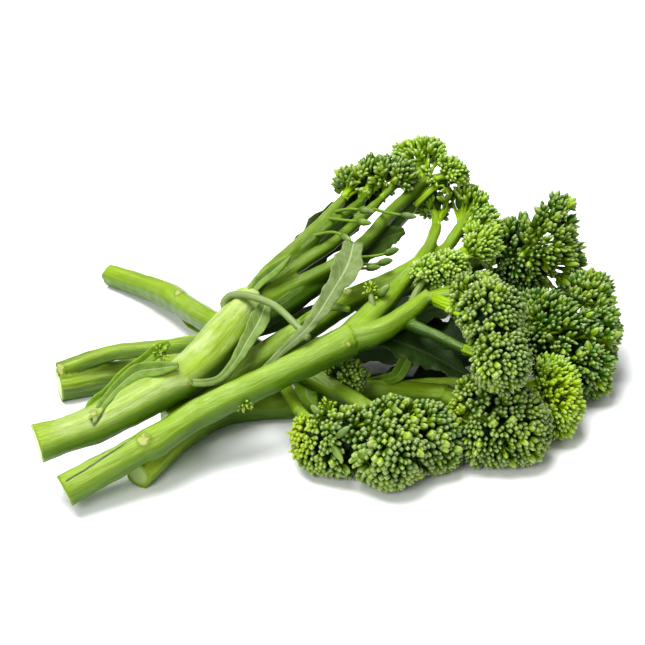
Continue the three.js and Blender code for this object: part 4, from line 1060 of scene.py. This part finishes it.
# Materials
class Sockets:
    """Adds nodes to a tree. An input is a plain value or another node's output."""

    def __init__(self, tree):
        self.tree = tree

    def feed(self, node, inputs):
        """Links the inputs that are outputs of nodes, and sets the rest on the node itself."""
        for key, value in inputs.items():
            if isinstance(value, bpy.types.NodeSocket):
                self.tree.links.new(value, node.inputs[key])
            else:
                node.inputs[key].default_value = value

    def add(self, kind, inputs, **settings):
        node = self.tree.nodes.new("ShaderNode" + kind)
        for key, value in settings.items():
            setattr(node, key, value)
        self.feed(node, inputs)
        return node.outputs

    def maths(self, operation, *values):
        return self.add("Math", dict(enumerate(values)), operation=operation)[0]

    def times(self, one, two):
        return self.maths("MULTIPLY", one, two)

    def rest(self, share):
        """One less the share."""
        return self.maths("SUBTRACT", 1.0, share)

    def step(self, value, low, high):
        """A smooth step of the value from 0 at low to 1 at high."""
        return self.add("MapRange", {0: value, 1: low, 2: high}, interpolation_type="SMOOTHSTEP")[0]

    def range(self, value, key):
        return self.step(value, *RANGES[key])

    def line(self, value, key):
        return self.maths("MULTIPLY_ADD", value, *LINES[key])

    def blend(self, share, one, two, mode="MIX"):
        """Colour one and, by the share, colour two laid on it. A plain colour has three values."""
        one, two = [value if isinstance(value, bpy.types.NodeSocket) else (*value, 1)
                    for value in (one, two)]
        return self.add("Mix", {0: share, 6: one, 7: two}, data_type="RGBA", blend_type=mode)[2]

    def noise(self, place, scale, key="plain"):
        return self.add("TexNoise", {"Vector": place, "Scale": scale, **NOISES[key]})[0]

    def stretched(self, place, share):
        """The place with its third axis squeezed to that share, so that patterns run long."""
        return self.add("Mapping", {"Vector": place, "Scale": (1, 1, share)})[0]

    def parts(self, vector):
        return self.add("SeparateXYZ", {0: vector})

    def attribute(self, name):
        return self.add("Attribute", {}, attribute_name=name)["Vector"]

    def place(self):
        return self.add("TexCoord", {})["Object"]

    def bump(self, height, key, invert=False):
        strength, distance = BUMPS[key]
        return self.add("Bump", {"Height": height, "Strength": strength, "Distance": distance},
                        invert=invert)[0]


def effect_group(name, inputs, outputs, build):
    """A shader node group: build makes its masks from its inputs, vectors but for Scale and Mark."""
    if name in bpy.data.node_groups:
        return bpy.data.node_groups[name]
    tree = bpy.data.node_groups.new(name, "ShaderNodeTree")
    for label in inputs:
        kind = "NodeSocketFloat" if label in ("Scale", "Mark") else "NodeSocketVector"
        tree.interface.new_socket(label, in_out="INPUT", socket_type=kind)
    for label in outputs:
        tree.interface.new_socket(label, in_out="OUTPUT", socket_type="NodeSocketFloat")
    sockets = Sockets(tree)
    given = tree.nodes.new("NodeGroupInput").outputs
    target = tree.nodes.new("NodeGroupOutput")
    sockets.feed(target, dict(zip(outputs, build(sockets, given))))
    return tree


def streak_group():
    """Long fine streaks: noise stretched along the third axis, as a mask from 0 to 1."""
    def build(sockets, given):
        run = sockets.stretched(given["Grain"], STREAK_RUN)
        fine = sockets.noise(run, given["Scale"], "streak")
        return [sockets.range(fine, "streak")]
    return effect_group("streaks", ["Grain", "Scale"], ["Mask"], build)


def film_group():
    """Patches of waxy film: broad noise broken up by finer noise, as a mask from 0 to 1."""
    def build(sockets, given):
        broad = sockets.noise(given["Place"], given["Scale"], "film")
        fine = sockets.noise(given["Place"], sockets.times(given["Scale"], FINE_FILM))
        return [sockets.times(sockets.range(broad, "film_broad"), sockets.range(fine, "film_fine"))]
    return effect_group("waxy_film", ["Place", "Scale"], ["Mask"], build)


def scar_group():
    """A scar's raised rim and worn middle: its mark plus noise, stepped at two heights."""
    def build(sockets, given):
        torn = sockets.noise(given["Place"], given["Scale"])
        mark = sockets.maths("SUBTRACT", given["Mark"], TORN_LESS)
        scar = sockets.maths("MULTIPLY_ADD", torn, TORN_SHARE, mark)
        return [sockets.times(sockets.range(scar, key), STRENGTHS[key]) for key in ("scar_rim", "scar")]
    return effect_group("scars", ["Place", "Scale", "Mark"], ["Rim", "Worn"], build)


def bud_group():
    """Marks on buds, as masks: patches of young ones, young spots, painted shade on the foot, a pale
    tip that is partly painted highlight, and seams.

    A spot is a smooth step of the distance from its place, a seam lies where cos 2a is nought.
    """
    def build(sockets, given):
        cosine, sine, share = sockets.parts(given["Around"])
        hue = sockets.parts(given["Part"])[2]
        patch = sockets.range(sockets.noise(given["Place"], given["Scale"], "patch"), "patch")
        even, chance = PATCH_SHARES
        patch = sockets.maths("MULTIPLY_ADD", patch, even, sockets.times(hue, chance))
        spots = 0.0
        for *spot, reach in YOUNG_SPOTS:
            far = sockets.add("VectorMath", {0: given["Place"], 1: tuple(np.array(spot) * MM)},
                              operation="DISTANCE")["Value"]
            near = sockets.rest(sockets.step(far, SPOT_CORE * reach * MM, reach * MM))
            spots = sockets.maths("MAXIMUM", spots, near)
        tip = sockets.times(sockets.range(share, "tip"), sockets.line(hue, "hue_tip"))
        turned = sockets.maths("SUBTRACT", sockets.times(cosine, cosine), sockets.times(sine, sine))
        seam = sockets.rest(sockets.range(sockets.maths("ABSOLUTE", turned), "seam"))
        return [patch, sockets.times(spots, STRENGTHS["young_spot"]), sockets.range(share, "foot"),
                tip, sockets.times(seam, STRENGTHS["seam"])]
    return effect_group("bud_marks", ["Place", "Around", "Part", "Scale"],
                        ["Patch", "Spot", "Foot", "Tip", "Seam"], build)


def new_material(name):
    """A material with an empty tree but for its Principled shader and output."""
    material = bpy.data.materials.new(name)
    material.use_nodes = True
    tree = material.node_tree
    return material, Sockets(tree), tree.nodes["Principled BSDF"]


def shade(rgb, factor):
    """A colour made lighter or darker by a factor."""
    return [min(1.0, channel * factor) for channel in rgb]


def stalk_material(name, skin, colours, film_share, streaks, pale_and_lit_end):
    """Stalk skin: streaks of lighter and deeper green, waxy film, scars and pale cut faces, with
    painted shade beneath, in grooves and on limbs in shadow, and painted light on top and at the end.

    The three shares say how much film lies on it, which is partly painted highlight as it lies only
    on skin that faces up, how strong its streaks are, and how much paler it is towards its cut end,
    partly its own colour and partly painted light.
    """
    material, sockets, shader = new_material(name)
    grain = sockets.attribute("grain")
    length = sockets.parts(grain)[2]
    at_cut, from_middle, scar = sockets.parts(sockets.attribute("marks"))
    tone_and_shade, upward, groove = sockets.parts(sockets.attribute("tint"))
    fine, broad, hair = [
        sockets.add("Group", {"Grain": grain, "Scale": SCALES[key]}, node_tree=streak_group())[0]
        for key in ("fine", "broad", "hair")
    ]
    film = sockets.add("Group", {"Place": sockets.stretched(grain, FILM_RUN), "Scale": SCALES["film"]},
                       node_tree=film_group())[0]
    rim, worn = sockets.add("Group", {"Place": sockets.place(), "Scale": SCALES["torn"], "Mark": scar},
                            node_tree=scar_group())

    # Paler towards the cut end: partly the skin's own colour, partly painted light on ends in shade
    end = sockets.rest(sockets.range(length, "pale_and_lit_end"))
    green = sockets.blend(sockets.times(end, pale_and_lit_end), shade(skin, SHADES["skin"]), TINTS["cut_end"])
    broad, fine = [sockets.times(mask, least + gain * streaks) for mask, (least, gain) in
                   ((broad, BROAD_STREAK), (fine, FINE_STREAK))]
    darker = shade(TINTS["broad_streak"], 1 - STREAK_TINT * streaks)
    green = sockets.blend(broad, green, darker, mode="MULTIPLY")
    green = sockets.blend(fine, green, shade(skin, SHADES["fine_streak"]))
    green = sockets.blend(sockets.times(hair, STRENGTHS["hair"]), green, TINTS["hair"],
                          mode="MULTIPLY")
    # Waxy film, partly painted highlight: it lies only on skin that faces up and fades on shaded limbs
    film = sockets.times(sockets.times(film, film_share), sockets.range(upward, "film_on_lit_top"))
    bare = sockets.rest(tone_and_shade)
    film = sockets.times(film, sockets.times(bare, bare))
    green = sockets.blend(film, green, colours.bloom)
    # Painted shade: the skin darkens the more it faces down
    under = sockets.times(sockets.rest(sockets.range(upward, "underside")), STRENGTHS["underside"])
    green = sockets.blend(under, green, TINTS["underside"], mode="MULTIPLY")
    # Painted shade on limbs that lie in shadow, as deep as their tone
    green = sockets.blend(tone_and_shade, green, TINTS["shaded_limb"], mode="MULTIPLY")
    dull = sockets.times(sockets.rest(sockets.range(from_middle, "dull")), STRENGTHS["dull"])
    green = sockets.blend(dull, green, colours.leaf_pale)
    green = sockets.blend(rim, green, TINTS["scar_rim"])
    green = sockets.blend(worn, green, TINTS["scar"])
    # Painted shade along the grooves
    green = sockets.blend(sockets.range(groove, "groove"), green, shade(skin, SHADES["groove"]))
    cut = sockets.blend(sockets.range(from_middle, "rind"), colours.pith, shade(skin, SHADES["rind"]))
    sockets.feed(shader, {
        "Base Color": sockets.blend(at_cut, green, cut),
        "Roughness": sockets.line(film, "film_rough"),
        "Normal": sockets.bump(hair, "hair"),
        **FINISHES["stalk"],
    })
    return material


def leaf_material(name, colours):
    """Leaf: from grey-green underside over young green to dark upper side, with pale veins; the
    darkest leaves also stand for shade between parts, as painted shade.

    A side vein is where the sine of a slanted share of the spine is nought.
    """
    material, sockets, shader = new_material(name)
    across, along, _ = sockets.parts(sockets.attribute("around"))
    tone_and_shade = sockets.parts(sockets.attribute("part"))[1]
    green = sockets.blend(sockets.range(tone_and_shade, "leaf_young"), colours.leaf_pale, colours.leaf_green)
    green = sockets.blend(sockets.range(tone_and_shade, "leaf_dark_and_shade"), green, colours.leaf_dark_and_shade)
    mottle = sockets.noise(sockets.place(), SCALES["mottle"])
    dimmed = sockets.blend(1.0, green, TINTS["mottle"], mode="MULTIPLY")
    green = sockets.blend(sockets.range(mottle, "mottle"), green, dimmed)
    off_middle = sockets.maths("ABSOLUTE", across)
    midrib = sockets.rest(sockets.range(off_middle, "midrib"))
    slant = sockets.maths("MULTIPLY_ADD", off_middle, VEIN_SLANT, along)
    wave = sockets.maths("ABSOLUTE", sockets.maths("SINE", sockets.times(slant, VEIN_TURN)))
    veins = sockets.times(sockets.rest(sockets.range(wave, "vein")), STRENGTHS["vein"])
    edge = sockets.times(sockets.range(off_middle, "edge"), STRENGTHS["edge"])
    pale = sockets.maths("MAXIMUM", sockets.maths("MAXIMUM", midrib, veins), edge)
    faint = sockets.line(sockets.range(tone_and_shade, "faint"), "faint")
    sockets.feed(shader, {
        "Base Color": sockets.blend(sockets.times(pale, faint), green, colours.bloom),
        "Normal": sockets.bump(pale, "vein"),
        **FINISHES["leaf"],
    })
    return material


def bud_material(name, body, pedicel, colours):
    """Buds and their stalks: painted shade on the foot, green belly, a pale tip that is partly waxy
    and partly painted highlight, grooves between four sepals, and painted shade on the pedicels
    and the ball inside a floret.
    """
    young, pale_tip_and_highlight = BUD_LOOKS[name]
    material, sockets, shader = new_material(name)
    part = sockets.attribute("part")
    on_bud, age, hue_and_shading = sockets.parts(part)
    patch, spot, foot, tip, seam = sockets.add(
        "Group", {"Place": sockets.place(), "Around": sockets.attribute("around"), "Part": part,
                  "Scale": SCALES["patch"]}, node_tree=bud_group())
    belly = sockets.blend(sockets.times(patch, young), body, colours.bud_young)
    belly = sockets.blend(sockets.range(age, "age"), colours.bud_young, belly)
    # Painted shade: each bud darkens towards its foot, down in the gaps
    bud = sockets.blend(foot, shade(pedicel, SHADES["foot"]), belly)
    # The pale tip: partly the bud's own waxy colour, partly painted highlight
    bud = sockets.blend(tip, bud, shade(colours.bud_tip, pale_tip_and_highlight))
    bud = sockets.blend(seam, bud, shade(body, SHADES["seam"]))
    bud = sockets.blend(spot, bud, TINTS["young_spot"])
    # Painted shade on pedicels and strands, and darkest on the ball inside a floret
    stalk = sockets.blend(hue_and_shading, shade(body, SHADES["inside"]), pedicel)
    sockets.feed(shader, {
        "Base Color": sockets.blend(on_bud, stalk, bud),
        "Normal": sockets.bump(seam, "seam", invert=True),
        **FINISHES["bud"],
    })
    return material


# Operators
class BUNCH_OT_stems(bpy.types.Operator):
    """Grow the stalks of the six spears, with branches, ribs, scars and cut faces"""

    bl_idname = "bunch.stems"
    bl_label = "Grow stalks"

    def execute(self, context):
        sizes, colours = context.scene.bunch_sizes, context.scene.bunch_colours
        for spear in SPEARS:
            name = spear["name"]
            slot, skin, *shares = STALK_LOOKS[name]
            material = stalk_material("stalk_" + name, getattr(colours, skin), colours, *shares)
            new_piece(stalk_mesh(spear, sizes), material, ["stem_" + name])
        return {"FINISHED"}


class BUNCH_OT_leaves(bpy.types.Operator):
    """Lay the small leaves on the stalks"""

    bl_idname = "bunch.leaves"
    bl_label = "Lay leaves"

    def execute(self, context):
        material = leaf_material("leaf", context.scene.bunch_colours)
        for spear in SPEARS:
            leaves = [leaf_shape(**leaf, sizes=context.scene.bunch_sizes) for leaf in spear["leaves"]]
            new_piece(new_mesh("leaves_" + spear["name"], gather(leaves)), material)
        return {"FINISHED"}


class BUNCH_OT_loose_buds(bpy.types.Operator):
    """Add the loose long buds, and the tufts of tiny buds on the stalks and the near head"""

    bl_idname = "bunch.loose_buds"
    bl_label = "Add loose buds"

    def execute(self, context):
        colours = context.scene.bunch_colours
        draw = np.random.default_rng(SEED)
        looks = {
            "loose_buds": bud_material("bud_loose", TINTS["loose_bud"], TINTS["loose_stalk"], colours),
            "tufts": bud_material("bud_tuft", colours.bud_young, colours.pedicel, colours),
        }
        for spear in SPEARS:
            name = spear["name"]
            groups = {"loose_buds": [], "tufts": []}
            if "loose_buds" in spear:
                groups["loose_buds"] = loose_bud_shapes(spear["loose_buds"], draw)
            for tuft in TUFTS.get(name, []):
                groups["tufts"] += tuft_shapes(*tuft, draw)
            for kind, shapes in groups.items():
                if shapes:
                    mesh = new_mesh(kind + "_" + name, gather(shapes))
                    new_piece(mesh, looks[kind])
        return {"FINISHED"}


class BUNCH_OT_heads(bpy.types.Operator):
    """Grow the flower heads: forks, pedicels and buds of every floret"""

    bl_idname = "bunch.heads"
    bl_label = "Grow heads"

    def execute(self, context):
        sizes, colours = context.scene.bunch_sizes, context.scene.bunch_colours
        looks = {}
        for head, (_, kind, _) in HEADS.items():
            if kind not in looks:
                looks[kind] = bud_material(kind, getattr(colours, kind), colours.pedicel, colours)
            new_piece(head_mesh(head, sizes), looks[kind], ["head_" + head])
        return {"FINISHED"}


class BUNCH_OT_stage(bpy.types.Operator):
    """Set the pale floor, the soft lights and the camera"""

    bl_idname = "bunch.stage"
    bl_label = "Set stage"

    def execute(self, context):
        scene = context.scene
        corners = np.array([[-1, -1, 0], [1, -1, 0], [1, 1, 0], [-1, 1, 0]]) * FLOOR_HALF / MM
        shape = {"verts": corners, "quads": np.array([[0, 1, 2, 3]]), "tris": np.empty((0, 3), int)}
        floor = bpy.data.objects.new("floor", new_mesh("floor", shape, ()))
        scene.collection.objects.link(floor)
        material, sockets, shader = new_material("pale_floor")
        sockets.feed(shader, FINISHES["floor"])
        floor.data.materials.append(material)
        scene.world = bpy.data.worlds.new("soft_white")
        scene.world.use_nodes = True
        backdrop = scene.world.node_tree.nodes["Background"]
        backdrop.inputs["Color"].default_value = (*TINTS["daylight"], 1)
        backdrop.inputs["Strength"].default_value = DAYLIGHT
        for name, (place, size, power) in LIGHTS.items():
            data = bpy.data.lights.new(name, "AREA")
            data.shape = "DISK"
            data.size = size
            data.energy = power
            light = bpy.data.objects.new(name, data)
            light.location = place
            facing = Vector(LIGHTS_FACE) - Vector(place)
            light.rotation_euler = facing.to_track_quat("-Z", "Y").to_euler()
            scene.collection.objects.link(light)
        rise, distance = CAMERA["rise"], CAMERA["distance"]
        camera = bpy.data.objects.new("camera", bpy.data.cameras.new("camera"))
        camera.data.lens = CAMERA["lens"]
        camera.data.sensor_width = CAMERA["sensor"]
        back = Vector((0, -np.cos(rise) * distance, np.sin(rise) * distance))
        camera.location = Vector(CAMERA["target"]) + back
        camera.rotation_euler = (np.pi / 2 - rise, 0, 0)
        scene.collection.objects.link(camera)
        scene.camera = camera
        scene.view_settings.view_transform = "Standard"
        scene.view_settings.look = "Medium High Contrast"
        return {"FINISHED"}


class BUNCH_PT_panel(bpy.types.Panel):
    """Sizes, colours and steps of the bunch"""

    bl_label = "Baby broccoli bunch"
    bl_space_type = "VIEW_3D"
    bl_region_type = "UI"
    bl_category = "Bunch"

    def draw(self, context):
        for group in (context.scene.bunch_sizes, context.scene.bunch_colours):
            box = self.layout.box()
            for key in group.__annotations__:
                box.prop(group, key)
        for operator in STEPS:
            self.layout.operator(operator.bl_idname)


STEPS = (BUNCH_OT_stems, BUNCH_OT_leaves, BUNCH_OT_loose_buds, BUNCH_OT_heads, BUNCH_OT_stage)
CLASSES = (BunchSizes, BunchColours, *STEPS, BUNCH_PT_panel)


def register():
    for kind in CLASSES:
        bpy.utils.register_class(kind)
    bpy.types.Scene.bunch_sizes = PointerProperty(type=BunchSizes)
    bpy.types.Scene.bunch_colours = PointerProperty(type=BunchColours)


def unregister():
    del bpy.types.Scene.bunch_colours
    del bpy.types.Scene.bunch_sizes
    for kind in reversed(CLASSES):
        bpy.utils.unregister_class(kind)


def main():
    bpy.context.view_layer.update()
    register()
    bpy.ops.bunch.stems()
    bpy.ops.bunch.leaves()
    bpy.ops.bunch.loose_buds()
    bpy.ops.bunch.heads()
    bpy.ops.bunch.stage()


if __name__ == "__main__":
    main()
